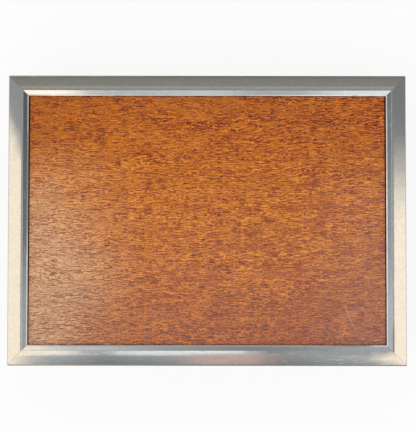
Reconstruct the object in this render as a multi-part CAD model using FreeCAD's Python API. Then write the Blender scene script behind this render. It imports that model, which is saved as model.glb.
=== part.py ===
import FreeCAD, Part
import math
import os

# A playing card box for two decks, side by side.
# A mahogany case stands on a silver foot. Its lid is a mahogany panel in a silver moulding, on a
# long brass hinge that is let in flush at the back.
# Millimetres. X runs along the front, Y from front to back and Z up.
# The origin is on the table, under the middle of the box.

# Two decks of cards, lying flat, and the play round each
card_width = 63.5
card_length = 88.9
deck_height = 18.0
deck_side_play = 1.3
deck_end_play = 2.3
deck_head_room = 2.0

# Case
wall = 7.0               # thickness of the case walls
base_board = 4.0         # thickness of the base
base_housing = 3.0       # how far the base reaches into the walls
pad = 0.8                # cloth in the bottom of each well
pad_play = 0.2           # between the cloth and the sides of its well
wood_corner = 0.5        # rounding of the upright wooden corners

# Slips that line the wells and stand up to locate the lid
liner = 1.7
liner_proud = 3.0        # height above the walls
liner_play = 0.25        # between the slips and the lid's rails
liner_outer_round = 0.8
liner_inner_round = 0.4

# Divider between the decks, with a dip for the fingers
divider = 3.0
divider_drop = 1.0       # below the top of the walls
divider_housing = 0.8    # how far each end reaches into the slips
divider_bevel = 0.6      # along its top edges
dip_width = 30.0
dip_depth = 9.0
dip_shoulder = 2.5       # rounding where the dip meets the top

# Lid
rail_height = 7.0
lining = 1.2             # veneer under the panel
lining_play = 0.1
tongue = 2.0             # the panel's edge, under the moulding
field_rise = 1.0         # the field stands this far above the tongue
field_end_gap = 0.5      # open joint between the field's ends and the moulding
field_side_gap = 0.15    # open joint along the grain
field_arris = 0.15       # bevel round the field

# Silver moulding round the lid
skirt = 1.0              # thickness outside the wood
skirt_drop = 1.2         # how far the skirt reaches down over the rails
moulding_width = 7.8     # from the outside to the sight edge
crest_in = 5.6           # from the outside to the crest
crest_rise = 3.5         # crest above the tongue
band_fall = 1.0          # how far the outer band falls from the crest
band_bulge = 0.22        # rise of the outer band above its chord
fall_sink = 0.04         # dip of the steep fall inside the crest, below its chord
lip_width = 0.5          # lip at the sight edge
lip_rise = 2.4           # outer side of the lip above the tongue
lip_fall = 0.1           # fall of the lip across its width, inwards
edge_round = 0.5         # outer edge of the band
crest_round = 0.35
silver_corner = 0.8      # rounding of the upright silver corners

# Silver foot
foot_height = 5.0
foot_ledge = 1.6         # thickness under the walls and the base
foot_flat_in = 5.4       # from the outside to the end of the flat that rests on the table
foot_lip_rise = 1.0      # underside of the foot's lip, above the table
foot_lip_width = 0.6
foot_cove_sink = 0.14    # depth of the cove under the foot, from its chord
foot_cap = 0.8           # rounding along the top of the foot

# Pins that hold the mouldings to the wood, filed flush outside
pin_radius = 0.45
pin_length = 4.4
pin_play = 0.02
pins_per_long_side = 3
pins_per_short_side = 2
pin_margin = 17.0        # from a corner of the box to the nearest pin
fastener_sides = 12      # pins and screws, and their holes, have this many flats

# Hinge
axis_in = 2.2            # hinge axis, in from the back of the case
stop_angle = 96.0        # the bevels meet when the lid has turned this far
hinge_length = 126.0
knuckle_count = 9        # odd, so that the case has both end knuckles
knuckle_radius = 1.35
knuckle_play = 0.06      # between the end of one knuckle and the next
groove_play = 0.15       # round the knuckles
leaf_thickness = 0.7
leaf_play = 0.15         # between a leaf's edge and the end of its seat
hinge_pin_radius = 0.6
hinge_pin_play = 0.03
apex_relief = 0.3        # the arris at the hinge axis is eased to this radius

# Hinge screws
screw_count = 5
screw_end_margin = 9.0   # from the end of a leaf to the middle of the first screw
screw_head_radius = 1.1
screw_shank_radius = 0.6
screw_head_depth = 0.5
screw_length = 5.0
screw_tip = 1.0          # length of the tapered end
screw_tip_radius = 0.15
screw_play = 0.03
screw_slot_width = 0.35
screw_slot_depth = 0.22

# Plan sizes
well_width = card_width + deck_side_play
well_length = card_length + deck_end_play
case_width = 2 * (well_width + liner + wall) + divider
case_depth = well_length + 2 * (liner + wall)
box_width = case_width + 2 * skirt
box_depth = case_depth + 2 * skirt

# Distances in from the outside of the box
wood_in = skirt
wall_in = wood_in + wall
liner_in = wall_in + liner
rail_in = wall_in - liner_play

# Heights
floor = foot_ledge + base_board
pad_top = floor + pad
joint = pad_top + deck_height + deck_head_room
divider_top = joint - divider_drop
liner_top = joint + liner_proud
rail_top = joint + rail_height
tongue_top = rail_top + tongue
field_top = tongue_top + field_rise
crest_top = tongue_top + crest_rise
shoulder_top = crest_top - band_fall
lip_top = tongue_top + lip_rise
skirt_bottom = rail_top - skirt_drop

# Hinge line
hinge_y = case_depth / 2 - axis_in
hinge_z = joint
leaf_reach = wall - liner_play - axis_in - leaf_play
groove_radius = knuckle_radius + groove_play
screw_from_axis = (leaf_reach + groove_radius) / 2

x_axis = FreeCAD.Vector(1, 0, 0)
z_axis = FreeCAD.Vector(0, 0, 1)
centre = FreeCAD.Vector(0, 0, 0)
clear = 1.0              # how far a cutting shape runs past what it cuts

# Each side of a frame is made at the front and turned about Z to its place
side_turns = {"front": 0, "right": 90, "back": 180, "left": 270}


def block(x, y, z):
    """A box from its (low, high) limits along X, Y and Z."""
    size = (x[1] - x[0], y[1] - y[0], z[1] - z[0])
    return Part.makeBox(*size, FreeCAD.Vector(x[0], y[0], z[0]))


def centred_block(width, depth, z):
    """A box of this width and depth about the Z axis, between two heights."""
    return block((-width / 2, width / 2), (-depth / 2, depth / 2), z)


def plate(inset, z, corner=0.0):
    """A plate whose edges lie this far in from the outside of the box, with rounded corners."""
    shape = centred_block(box_width - 2 * inset, box_depth - 2 * inset, z)
    if corner:
        upright = [e for e in shape.Edges if abs(e.tangentAt(e.FirstParameter).z) > 0.5]
        shape = shape.makeFillet(corner, upright)
    return shape


def profile(start, *steps):
    """A closed face in the plane x = 0. A step is a point, or the points that an arc goes through
    and ends at. The first number of a point is Y and the second is Z."""
    def vector(point):
        return FreeCAD.Vector(0, point[0], point[1])

    edges = []
    here = start
    for step in steps:
        if isinstance(step[0], tuple):
            through, end = step
            edges.append(Part.Arc(vector(here), vector(through), vector(end)).toShape())
        else:
            end = step
            edges.append(Part.makeLine(vector(here), vector(end)))
        here = end
    edges.append(Part.makeLine(vector(here), vector(start)))
    return Part.Face(Part.Wire(edges))


def bulged(start, end, rise):
    """The middle point of an arc from start to end that stands rise to the left of its chord."""
    run, climb = end[0] - start[0], end[1] - start[1]
    length = math.hypot(run, climb)
    return ((start[0] + end[0]) / 2 - climb / length * rise,
            (start[1] + end[1]) / 2 + run / length * rise)


def quarter(start, corner, end):
    """The middle point of a quarter round from start to end, whose square corner is given."""
    radius = math.dist(start, corner)
    middle = ((start[0] + end[0]) / 2, (start[1] + end[1]) / 2)
    reach = math.dist(middle, corner)
    share = (radius * math.sqrt(2) - radius) / reach
    return (corner[0] + (middle[0] - corner[0]) * share, corner[1] + (middle[1] - corner[1]) * share)


def mitred(section, side, inset, corner=0.0):
    """One side of a four-sided frame, mitred at both ends. The section's Y is the distance in
    from the outside of the box. The frame's outer corners are rounded at the inset given."""
    sideways = side in ("left", "right")
    length, depth = (box_depth, box_width) if sideways else (box_width, box_depth)
    shape = section.extrude(FreeCAD.Vector(length, 0, 0))
    shape.translate(FreeCAD.Vector(-length / 2, -depth / 2, 0))
    deep = 2 * liner_in
    corners = [
        (-length / 2, -depth / 2),
        (length / 2, -depth / 2),
        (length / 2 - deep, deep - depth / 2),
        (deep - length / 2, deep - depth / 2),
    ]
    outline = [FreeCAD.Vector(x, y, -clear) for x, y in corners + corners[:1]]
    wedge = Part.Face(Part.makePolygon(outline)).extrude(FreeCAD.Vector(0, 0, crest_top + 2 * clear))
    shape = shape.common(wedge)
    shape.rotate(centre, z_axis, side_turns[side])
    if corner:
        shape = shape.common(plate(inset, (-clear, crest_top + clear), corner))
    return shape


def spread(count, length, margin):
    """Places along a length, about its middle, with a margin at both ends."""
    span = length - 2 * margin
    return [span * (i / (count - 1) - 0.5) for i in range(count)]


def fastener(rings):
    """A flat-sided fastener along the Z axis, through rings given as (radius, height)."""
    loops = []
    for radius, height in rings:
        turns = [2 * math.pi * i / fastener_sides for i in range(fastener_sides)]
        loops.append([
            FreeCAD.Vector(radius * math.cos(turn), radius * math.sin(turn), height) for turn in turns
        ])
    outlines = [loops[0], loops[-1]]
    for low, high in zip(loops, loops[1:]):
        for i in range(fastener_sides):
            outlines.append([low[i - 1], low[i], high[i], high[i - 1]])
    faces = [Part.Face(Part.makePolygon(outline + outline[:1])) for outline in outlines]
    shell = Part.makeShell(faces)
    shell.sewShape()
    solid = Part.makeSolid(shell)
    if solid.Volume < 0:
        solid.reverse()
    return solid


def frame_pins(height, play=0.0):
    """The pins of one frame at this height, from the outside inwards, enlarged by the play."""
    shapes = []
    for side, turn in side_turns.items():
        sideways = side in ("left", "right")
        length, depth = (box_depth, box_width) if sideways else (box_width, box_depth)
        count = pins_per_short_side if sideways else pins_per_long_side
        for along in spread(count, length, pin_margin):
            pin = fastener([(pin_radius + play, 0), (pin_radius + play, pin_length + play)])
            pin.rotate(centre, x_axis, -90)
            pin.translate(FreeCAD.Vector(along, -depth / 2, height))
            pin.rotate(centre, z_axis, turn)
            shapes.append(pin)
    return shapes


# The hinge and what it needs in the wood

def hinge_bevel(up):
    """The wedge cut from the back of the lid (up = 1) or of the case (up = -1), along its whole
    width. Its apex is the hinge axis, so the two bevels meet flat when the lid is fully open."""
    back = case_depth / 2 + clear
    drop = (back - hinge_y) * math.tan(math.radians(stop_angle / 2))
    section = profile((hinge_y, hinge_z), (back, hinge_z), (back, hinge_z + up * drop))
    wedge = section.extrude(FreeCAD.Vector(box_width, 0, 0))
    wedge.translate(FreeCAD.Vector(-box_width / 2, 0, 0))
    return wedge.fuse(along_hinge(apex_relief, box_width))


def along_hinge(radius, length):
    """A rod of this length on the hinge axis, about the middle of the box."""
    start = FreeCAD.Vector(-length / 2, hinge_y, hinge_z)
    return Part.makeCylinder(radius, length, start, x_axis)


def hinge_seat(up):
    """The recess for one leaf, open to the inside, and the groove for the knuckles."""
    half = hinge_length / 2 + leaf_play
    inner = case_depth / 2 - wall - clear
    heights = sorted((hinge_z, hinge_z + up * knuckle_radius))
    seat = block((-half, half), (inner, hinge_y), heights)
    return seat.fuse(along_hinge(groove_radius, 2 * half))


def hinge_screw(x, up, play=0.0):
    """A countersunk wood screw, head flush with the leaf's free face. Up is the way it points."""
    shank = screw_shank_radius + play
    screw = fastener([
        (screw_head_radius + play, 0),
        (shank, screw_head_depth),
        (shank, screw_length - screw_tip + play),
        (screw_tip_radius, screw_length + play),
    ])
    if play == 0:
        half_slot = screw_slot_width / 2
        across = (-screw_head_radius - clear, screw_head_radius + clear)
        screw = screw.cut(block(across, (-half_slot, half_slot), (-clear, screw_slot_depth)))
    if up < 0:
        screw.rotate(centre, x_axis, 180)
    free_face = hinge_z + up * (knuckle_radius - leaf_thickness)
    screw.translate(FreeCAD.Vector(x, hinge_y - screw_from_axis, free_face))
    return screw


def hinge_screws(up, play=0.0):
    return [hinge_screw(x, up, play) for x in spread(screw_count, hinge_length, screw_end_margin)]


def hinge_leaf(up):
    """One leaf with its knuckles. The case's leaf (up = -1) has the even knuckles, counted from
    0, and the lid's leaf (up = 1) the odd ones."""
    half = hinge_length / 2
    pitch = hinge_length / knuckle_count
    outer = hinge_z + up * knuckle_radius
    heights = sorted((outer, outer - up * leaf_thickness))
    leaf = block((-half, half), (hinge_y - leaf_reach, hinge_y - groove_radius), heights)
    for i in range(0 if up < 0 else 1, knuckle_count, 2):
        start = pitch * i - half
        ends = (start + knuckle_play, start + pitch - knuckle_play)
        if i == 0:
            ends = (start, ends[1])
        if i == knuckle_count - 1:
            ends = (ends[0], start + pitch)
        barrel = Part.makeCylinder(
            knuckle_radius, ends[1] - ends[0], FreeCAD.Vector(ends[0], hinge_y, hinge_z), x_axis
        )
        web = block(ends, (hinge_y - groove_radius, hinge_y), heights)
        leaf = leaf.fuse([barrel, web])
    leaf = leaf.cut([along_hinge(hinge_pin_radius + hinge_pin_play, box_width)])
    leaf = leaf.cut(hinge_screws(up, screw_play))
    return leaf.removeSplitter()


# The case

def case_wall(side):
    """A mitred wall, housed along the bottom for the base and pinned to the foot."""
    section = profile(
        (wood_in, foot_ledge),
        (wall_in - base_housing, foot_ledge),
        (wall_in - base_housing, floor),
        (wall_in, floor),
        (wall_in, joint),
        (wood_in, joint),
    )
    shape = mitred(section, side, wood_in, wood_corner)
    if side != "front":
        shape = shape.cut(hinge_bevel(-1))
    if side == "back":
        shape = shape.cut([hinge_seat(-1)] + hinge_screws(-1, screw_play))
    return shape.cut(frame_pins(foot_pin_height, pin_play))


def case_lining(side):
    """A mitred slip along one wall. It stands on the base and its top edges are rounded."""
    outer_start = (wall_in, liner_top - liner_outer_round)
    outer_end = (wall_in + liner_outer_round, liner_top)
    inner_start = (liner_in - liner_inner_round, liner_top)
    inner_end = (liner_in, liner_top - liner_inner_round)
    section = profile(
        (liner_in, floor),
        (wall_in, floor),
        outer_start,
        (quarter(outer_start, (wall_in, liner_top), outer_end), outer_end),
        inner_start,
        (quarter(inner_start, (liner_in, liner_top), inner_end), inner_end),
    )
    shape = mitred(section, side, wall_in)
    if side in ("front", "back"):
        shape = shape.cut(divider_blank())
    return shape


def divider_blank():
    """The divider before it is shaped: a board housed at both ends in the slips."""
    return centred_block(divider, well_length + 2 * divider_housing, (floor, divider_top))


def well_divider():
    dip_radius = (dip_width ** 2 / 4 + dip_depth ** 2) / (2 * dip_depth)
    dip_centre = FreeCAD.Vector(-divider, 0, divider_top - dip_depth + dip_radius)
    board = divider_blank().cut(Part.makeCylinder(dip_radius, 2 * divider, dip_centre, x_axis))
    shoulders = [
        e for e in board.Edges
        if e.BoundBox.XLength > divider / 2
        and abs(abs(e.CenterOfMass.y) - dip_width / 2) < 0.01
        and abs(e.CenterOfMass.z - divider_top) < 0.01
    ]
    board = board.makeFillet(dip_shoulder, shoulders)
    lowest = divider_top - dip_depth
    top_edges = [
        e for e in board.Edges
        if e.BoundBox.XLength < 0.01 and e.BoundBox.YLength > 0.01 and e.BoundBox.ZMin > lowest - 0.01
    ]
    return board.makeChamfer(divider_bevel, top_edges)


def well_pad(way):
    """Cloth in the bottom of the left (way = -1) or right (way = 1) well."""
    middle = way * (divider + well_width) / 2
    shape = centred_block(well_width - 2 * pad_play, well_length - 2 * pad_play, (floor, pad_top))
    shape.translate(FreeCAD.Vector(middle, 0, 0))
    return shape


def base():
    return plate(wall_in - base_housing, (foot_ledge, floor))


# The silver foot

foot_pin_height = (foot_ledge + foot_height - foot_cap) / 2


def foot_moulding(side):
    """An L section: a ledge under the walls and the base, and a skirt outside the walls."""
    edge_start = (edge_round, 0.0)
    edge_end = (0.0, edge_round)
    cap = min(foot_cap, skirt)
    cap_start = (0.0, foot_height - cap)
    cap_end = (cap, foot_height)
    cove_start = (moulding_width - foot_lip_width, foot_lip_rise)
    cove_end = (foot_flat_in, 0.0)
    section = profile(
        edge_start,
        (quarter(edge_start, (0.0, 0.0), edge_end), edge_end),
        cap_start,
        (quarter(cap_start, (0.0, foot_height), cap_end), cap_end),
        (wood_in, foot_height),
        (wood_in, foot_ledge),
        (moulding_width, foot_ledge),
        (moulding_width, foot_lip_rise),
        cove_start,
        (bulged(cove_start, cove_end, -foot_cove_sink), cove_end),
    )
    shape = mitred(section, side, 0.0, silver_corner)
    return shape.cut(frame_pins(foot_pin_height, pin_play))


# The lid

lid_pin_height = (rail_top + tongue_top) / 2


def lid_rail(side):
    """A mitred rail under the panel's edge. It closes on the case wall."""
    section = profile(
        (wood_in, joint),
        (rail_in, joint),
        (rail_in, rail_top),
        (wood_in, rail_top),
    )
    shape = mitred(section, side, wood_in, wood_corner)
    if side != "front":
        shape = shape.cut(hinge_bevel(1))
    if side == "back":
        shape = shape.cut([hinge_seat(1)] + hinge_screws(1, screw_play))
    return shape


def lid_panel():
    """A fielded panel: a thin edge under the moulding, and a field that rises inside it."""
    edge = plate(wood_in, (rail_top, tongue_top), wood_corner)
    field = centred_block(
        box_width - 2 * (moulding_width + field_end_gap),
        box_depth - 2 * (moulding_width + field_side_gap),
        (rail_top, field_top),
    )
    top_edges = [e for e in field.Edges if e.BoundBox.ZMin > field_top - 0.01]
    field = field.makeChamfer(field_arris, top_edges)
    panel = edge.fuse(field).removeSplitter()
    return panel.cut(frame_pins(lid_pin_height, pin_play))


def lid_lining():
    return plate(rail_in + lining_play, (rail_top - lining, rail_top))


def lid_moulding(side):
    """The framing moulding. From the outside in: a skirt over the wood, a gently domed band that
    climbs to the crest, a steep fall, and a narrow lip at the sight edge."""
    edge_start = (0.0, shoulder_top - edge_round)
    edge_end = (edge_round, shoulder_top)
    crest = (crest_in, crest_top)
    fall_end = (moulding_width - lip_width, lip_top)
    section = profile(
        (wood_in, skirt_bottom),
        (0.0, skirt_bottom),
        edge_start,
        (quarter(edge_start, (0.0, shoulder_top), edge_end), edge_end),
        (bulged(edge_end, crest, band_bulge), crest),
        (bulged(crest, fall_end, -fall_sink), fall_end),
        (moulding_width, lip_top - lip_fall),
        (moulding_width, tongue_top),
        (wood_in, tongue_top),
    )
    length = section.extrude(FreeCAD.Vector(box_width, 0, 0))
    crests = [
        e for e in length.Edges
        if e.BoundBox.XLength > box_width / 2
        and abs(e.CenterOfMass.y - crest_in) < 0.01
        and abs(e.CenterOfMass.z - crest_top) < 0.01
    ]
    softened = length.makeFillet(crest_round, crests)
    end_face = min(softened.Faces, key=lambda f: f.CenterOfMass.x)
    shape = mitred(end_face, side, 0.0, silver_corner)
    return shape.cut(frame_pins(lid_pin_height, pin_play))


def build():
    """Every piece of the box by its name."""
    pieces = {
        "base_board": base(),
        "well_divider": well_divider(),
        "left_well_pad": well_pad(-1),
        "right_well_pad": well_pad(1),
        "lid_panel": lid_panel(),
        "lid_lining": lid_lining(),
        "hinge_case_leaf": hinge_leaf(-1),
        "hinge_lid_leaf": hinge_leaf(1),
        "hinge_pin": along_hinge(hinge_pin_radius, hinge_length),
        "hinge_case_screws": Part.makeCompound(hinge_screws(-1)),
        "hinge_lid_screws": Part.makeCompound(hinge_screws(1)),
        "foot_pins": Part.makeCompound(frame_pins(foot_pin_height)),
        "lid_pins": Part.makeCompound(frame_pins(lid_pin_height)),
    }
    for side in side_turns:
        pieces[f"case_{side}_wall"] = case_wall(side)
        pieces[f"case_{side}_lining"] = case_lining(side)
        pieces[f"foot_{side}_moulding"] = foot_moulding(side)
        pieces[f"lid_{side}_rail"] = lid_rail(side)
        pieces[f"lid_{side}_moulding"] = lid_moulding(side)
    return pieces


os.makedirs("parts", exist_ok=True)
for name, shape in build().items():
    shape.exportStep(f"parts/{name}.step")
    print(f"{name}: {len(shape.Solids)} solids, {shape.Volume:.1f} mm3")
print(f"box {box_width:.1f} x {box_depth:.1f} x {crest_top:.1f} mm")
print(f"hinge axis at y {hinge_y:.2f}, z {hinge_z:.2f}")
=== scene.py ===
import math
import random

import bmesh
import bpy
from mathutils import Matrix, Vector
from mathutils.noise import noise as cloudAt


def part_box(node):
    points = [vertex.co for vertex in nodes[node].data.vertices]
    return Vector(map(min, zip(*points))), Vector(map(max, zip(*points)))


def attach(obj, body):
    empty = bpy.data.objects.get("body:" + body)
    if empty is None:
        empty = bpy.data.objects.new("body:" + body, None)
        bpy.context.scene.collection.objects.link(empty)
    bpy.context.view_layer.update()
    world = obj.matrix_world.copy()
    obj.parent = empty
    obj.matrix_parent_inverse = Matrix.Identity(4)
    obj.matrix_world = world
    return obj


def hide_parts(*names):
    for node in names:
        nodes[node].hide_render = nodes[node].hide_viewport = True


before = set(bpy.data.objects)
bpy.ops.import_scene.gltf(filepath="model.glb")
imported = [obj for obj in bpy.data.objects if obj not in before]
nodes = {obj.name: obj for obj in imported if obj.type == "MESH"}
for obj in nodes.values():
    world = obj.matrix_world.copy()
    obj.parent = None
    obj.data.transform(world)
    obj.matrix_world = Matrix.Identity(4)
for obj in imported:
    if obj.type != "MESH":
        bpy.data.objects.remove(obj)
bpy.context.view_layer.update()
mm = 0.001
sides = ("front", "right", "back", "left")
quarterTurn = math.pi / 2

# Plan of the box, in millimetres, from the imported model
boxHalfWidth = max(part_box("lid_right_moulding")[1].x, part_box("foot_right_moulding")[1].x) / mm
boxHalfDepth = -min(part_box("lid_front_moulding")[0].y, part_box("foot_front_moulding")[0].y) / mm


def shade(red, green, blue):
    # a colour as it looks on the screen, 0 to 255, made linear
    def linear(level):
        level /= 255
        return level / 12.92 if level <= 0.04045 else ((level + 0.055) / 1.055) ** 2.4
    return (linear(red), linear(green), linear(blue), 1.0)


def place(name, mesh):
    piece = bpy.data.objects.new(name, mesh)
    bpy.context.scene.collection.objects.link(piece)
    return piece


def plug(tree, socket, value):
    if isinstance(value, bpy.types.NodeSocket):
        tree.links.new(value, socket)
    elif value is not None:
        socket.default_value = value


def add(tree, kind, inputs=None, **settings):
    # a node, its settings, and its inputs by name or number
    made = tree.nodes.new(kind)
    for key, value in settings.items():
        setattr(made, key, value)
    for key, value in (inputs or {}).items():
        plug(tree, made.inputs[key], value)
    return made


def calc(tree, operation, *values, clamp=False):
    made = tree.nodes.new("ShaderNodeMath")
    made.operation = operation
    made.use_clamp = clamp
    for socket, value in zip(made.inputs, values):
        plug(tree, socket, value)
    return made.outputs[0]


def vectorCalc(tree, operation, *values):
    made = tree.nodes.new("ShaderNodeVectorMath")
    made.operation = operation
    for socket, value in zip(made.inputs, values):
        plug(tree, socket, value)
    return made.outputs["Value" if operation in ("DOT_PRODUCT", "LENGTH") else "Vector"]


def step(tree, value, low, high, toLow=0.0, toHigh=1.0, smooth=True):
    made = tree.nodes.new("ShaderNodeMapRange")
    made.interpolation_type = "SMOOTHSTEP" if smooth else "LINEAR"
    for socket, given in zip(made.inputs, (value, low, high, toLow, toHigh)):
        plug(tree, socket, given)
    return made.outputs[0]


def mixColour(tree, share, first, second, blend="MIX"):
    made = tree.nodes.new("ShaderNodeMix")
    made.data_type = "RGBA"
    made.blend_type = blend
    for number, given in zip((0, 6, 7), (share, first, second)):
        plug(tree, made.inputs[number], given)
    return made.outputs[2]


def ramp(tree, value, stops, interpolation="LINEAR"):
    made = tree.nodes.new("ShaderNodeValToRGB")
    made.color_ramp.interpolation = interpolation
    while len(made.color_ramp.elements) < len(stops):
        made.color_ramp.elements.new(0.5)
    for element, (position, colour) in zip(made.color_ramp.elements, stops):
        element.position = position
        element.color = colour
    plug(tree, made.inputs[0], value)
    return made.outputs[0]


def cloud(tree, vector, scale=1.0, detail=2.0, roughness=0.5, distortion=0.0):
    made = add(tree, "ShaderNodeTexNoise", {
        "Vector": vector, "Scale": scale, "Detail": detail, "Roughness": roughness,
        "Distortion": distortion,
    })
    return made.outputs[0]


def stretched(tree, vector, x, y, z, move=(0, 0, 0)):
    return add(tree, "ShaderNodeMapping", {
        "Vector": vector, "Location": move, "Scale": (x, y, z)}).outputs[0]


def newMaterial(name):
    made = bpy.data.materials.new(name)
    made.use_nodes = True
    made.node_tree.nodes.clear()
    return made, made.node_tree


def finishMaterial(tree, surface):
    plug(tree, add(tree, "ShaderNodeOutputMaterial").inputs["Surface"], surface)


def newGroup(name, kind, inputs, outputs):
    tree = bpy.data.node_groups.new(name, kind)
    for label, socketKind, default in inputs:
        socket = tree.interface.new_socket(label, in_out="INPUT", socket_type=socketKind)
        if default is not None:
            socket.default_value = default
    for label, socketKind in outputs:
        tree.interface.new_socket(label, in_out="OUTPUT", socket_type=socketKind)
    return tree, tree.nodes.new("NodeGroupInput").outputs, tree.nodes.new("NodeGroupOutput").inputs


def useGroup(tree, group, inputs):
    made = tree.nodes.new("ShaderNodeGroup")
    made.node_tree = group
    for key, value in inputs.items():
        plug(tree, made.inputs[key], value)
    return made.outputs


def outwards(mesh):
    # turns the faces out, going by the sign of the volume they enclose
    work = bmesh.new()
    work.from_mesh(mesh)
    if work.calc_volume(signed=True) < 0:
        bmesh.ops.reverse_faces(work, faces=work.faces)
        work.to_mesh(mesh)
    work.free()


def smoothed(mesh, angle=32):
    mesh.shade_smooth()
    mesh.set_sharp_from_angle(angle=math.radians(angle))
    mesh.update()


def grown(name, host, tree, settings):
    # runs a geometry nodes tree on a host mesh and keeps the result as a plain mesh
    holder = place(name + "Host", host)
    modifier = holder.modifiers.new("grow", "NODES")
    modifier.node_group = tree
    for item in tree.interface.items_tree:
        if item.item_type == "SOCKET" and item.in_out == "INPUT" and item.name in settings:
            modifier[item.identifier] = settings[item.name]
    depsgraph = bpy.context.evaluated_depsgraph_get()
    mesh = bpy.data.meshes.new_from_object(
        holder.evaluated_get(depsgraph), preserve_all_data_layers=True, depsgraph=depsgraph)
    mesh.name = name
    holder.modifiers.clear()
    bpy.data.objects.remove(holder)
    outwards(mesh)
    return mesh


def finishPiece(name, mesh, body, replaced, material=None, angle=32):
    smoothed(mesh, angle)
    if material:
        mesh.materials.clear()
        mesh.materials.append(material)
    piece = place(name, mesh)
    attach(piece, body)
    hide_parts(*replaced)
    return piece


cameraSetting = {
    "place": (0.32, -26.03, 637.36),
    "tilt": 2.655,
    "roll": 0.08,
    "lens": 136.42,
    "sensor": 36.0,
}


def makeCamera():
    data = bpy.data.cameras.new("camera")
    data.sensor_fit = "HORIZONTAL"
    data.sensor_width = cameraSetting["sensor"]
    data.lens = cameraSetting["lens"]
    camera = bpy.data.objects.new("camera", data)
    bpy.context.scene.collection.objects.link(camera)
    camera.matrix_world = (
        Matrix.Translation(Vector(cameraSetting["place"]) * mm)
        @ Matrix.Rotation(math.radians(cameraSetting["tilt"]), 4, "X")
        @ Matrix.Rotation(math.radians(cameraSetting["roll"]), 4, "Z"))
    bpy.context.scene.camera = camera


studio = {
    "fill": 0.7,             # light from all round
    "lampPower": 2.4,
    "lampSize": 0.6,
    "lampPlace": (-0.3, -0.25, 0.9),
    "floorSize": 6.0,
    "floorColour": (0.96, 0.96, 0.96, 1.0),
    "floorShadow": 0.12,     # share of the floor that takes a shadow
}

# The room that the silver sees, by direction: x to the right, y to the back, z up.
# Brightness is given as (place, level) pairs.
room = {
    "leftWall": (1.05, 0.92, 0.73, 1.0), "rightWall": (1.07, 0.95, 0.78, 1.0), "blush": (0.62, 0.43, 0.37, 1.0),
    "backTint": (1.03, 1.0, 0.9, 1.0), "coolTint": (0.96, 1.0, 1.02, 1.0), "warmTint": (1.03, 0.92, 0.76, 1.0),
    # overhead, from the front to the back
    "overhead": [(-0.05, 0.45), (0.03, 0.36), (0.08, 0.33), (0.12, 0.31), (0.18, 0.26), (0.27, 0.28), (0.31, 0.36), (0.35, 0.34),
                 (0.39, 0.25), (0.66, 0.22), (0.74, 0.15)],
    # overhead in front of the middle, from left to right, and the bright strip in it
    "front": [(-0.12, 0.5), (-0.085, 0.4), (-0.07, 0.28), (-0.03, 0.36), (0.0, 0.44), (0.02, 0.41), (0.036, 0.22),
              (0.06, 0.34), (0.1, 0.46)],
    "strip": [(-0.085, 0.9), (-0.078, 0.36), (-0.066, 0.38), (-0.052, 0.82), (0.0, 0.92), (0.022, 0.84),
              (0.034, 0.2), (0.06, 0.36), (0.1, 0.38)],
    # how near the middle each wall starts, from the front to the back
    "leftLimit": [(-0.36, 0.114), (-0.22, 0.088), (-0.1, 0.083), (-0.066, 0.09), (-0.052, 0.27)],
    "rightLimit": [(-0.7, 0.12), (-0.45, 0.106), (-0.2, 0.118), (-0.09, 0.13), (-0.055, 0.29)],
    # lower down: the end walls from left to right, and the side walls from the front to the back
    "frontLow": [(-0.086, 1.2), (-0.077, 0.5), (-0.02, 0.58), (0.0, 0.66), (0.03, 0.44), (0.06, 0.48), (0.085, 0.8), (0.1, 0.88)],
    "backLow": [(-0.107, 0.98), (-0.092, 0.6), (-0.07, 0.56), (-0.03, 0.37), (0.03, 0.25), (0.06, 0.3), (0.1, 0.42)],
    "rightLow": [(-0.02, 0.38), (0.01, 0.32), (0.03, 0.18), (0.06, 0.16), (0.12, 0.11)],
    "leftLow": [(-0.01, 0.5), (0.03, 0.36), (0.06, 0.3), (0.09, 0.22), (0.12, 0.2)],
    # straight overhead, where the flat lip looks: at the back, left and right
    "lipBack": [(-0.083, 1.15), (-0.072, 0.78), (-0.05, 0.62), (0.0, 0.72), (0.03, 0.62), (0.055, 0.85), (0.08, 1.1)],
    "lipLeft": [(0.02, 0.8), (0.04, 0.3), (0.09, 0.2)],
    "lipRight": [(-0.1, 0.85), (-0.01, 1.1), (0.06, 1.2), (0.09, 0.75), (0.12, 0.5)],
}


def levels(tree, value, stops, reach=1.0):
    # a brightness that follows a value between minus and plus this reach
    where = calc(tree, "MULTIPLY_ADD", value, 0.5 / reach, 0.5)
    return ramp(tree, where, [(place / reach / 2 + 0.5, (level, level, level, 1.0)) for place, level in stops])


def both(tree, *masks):
    share = masks[0]
    for mask in masks[1:]:
        share = calc(tree, "MULTIPLY", share, mask)
    return share


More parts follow.
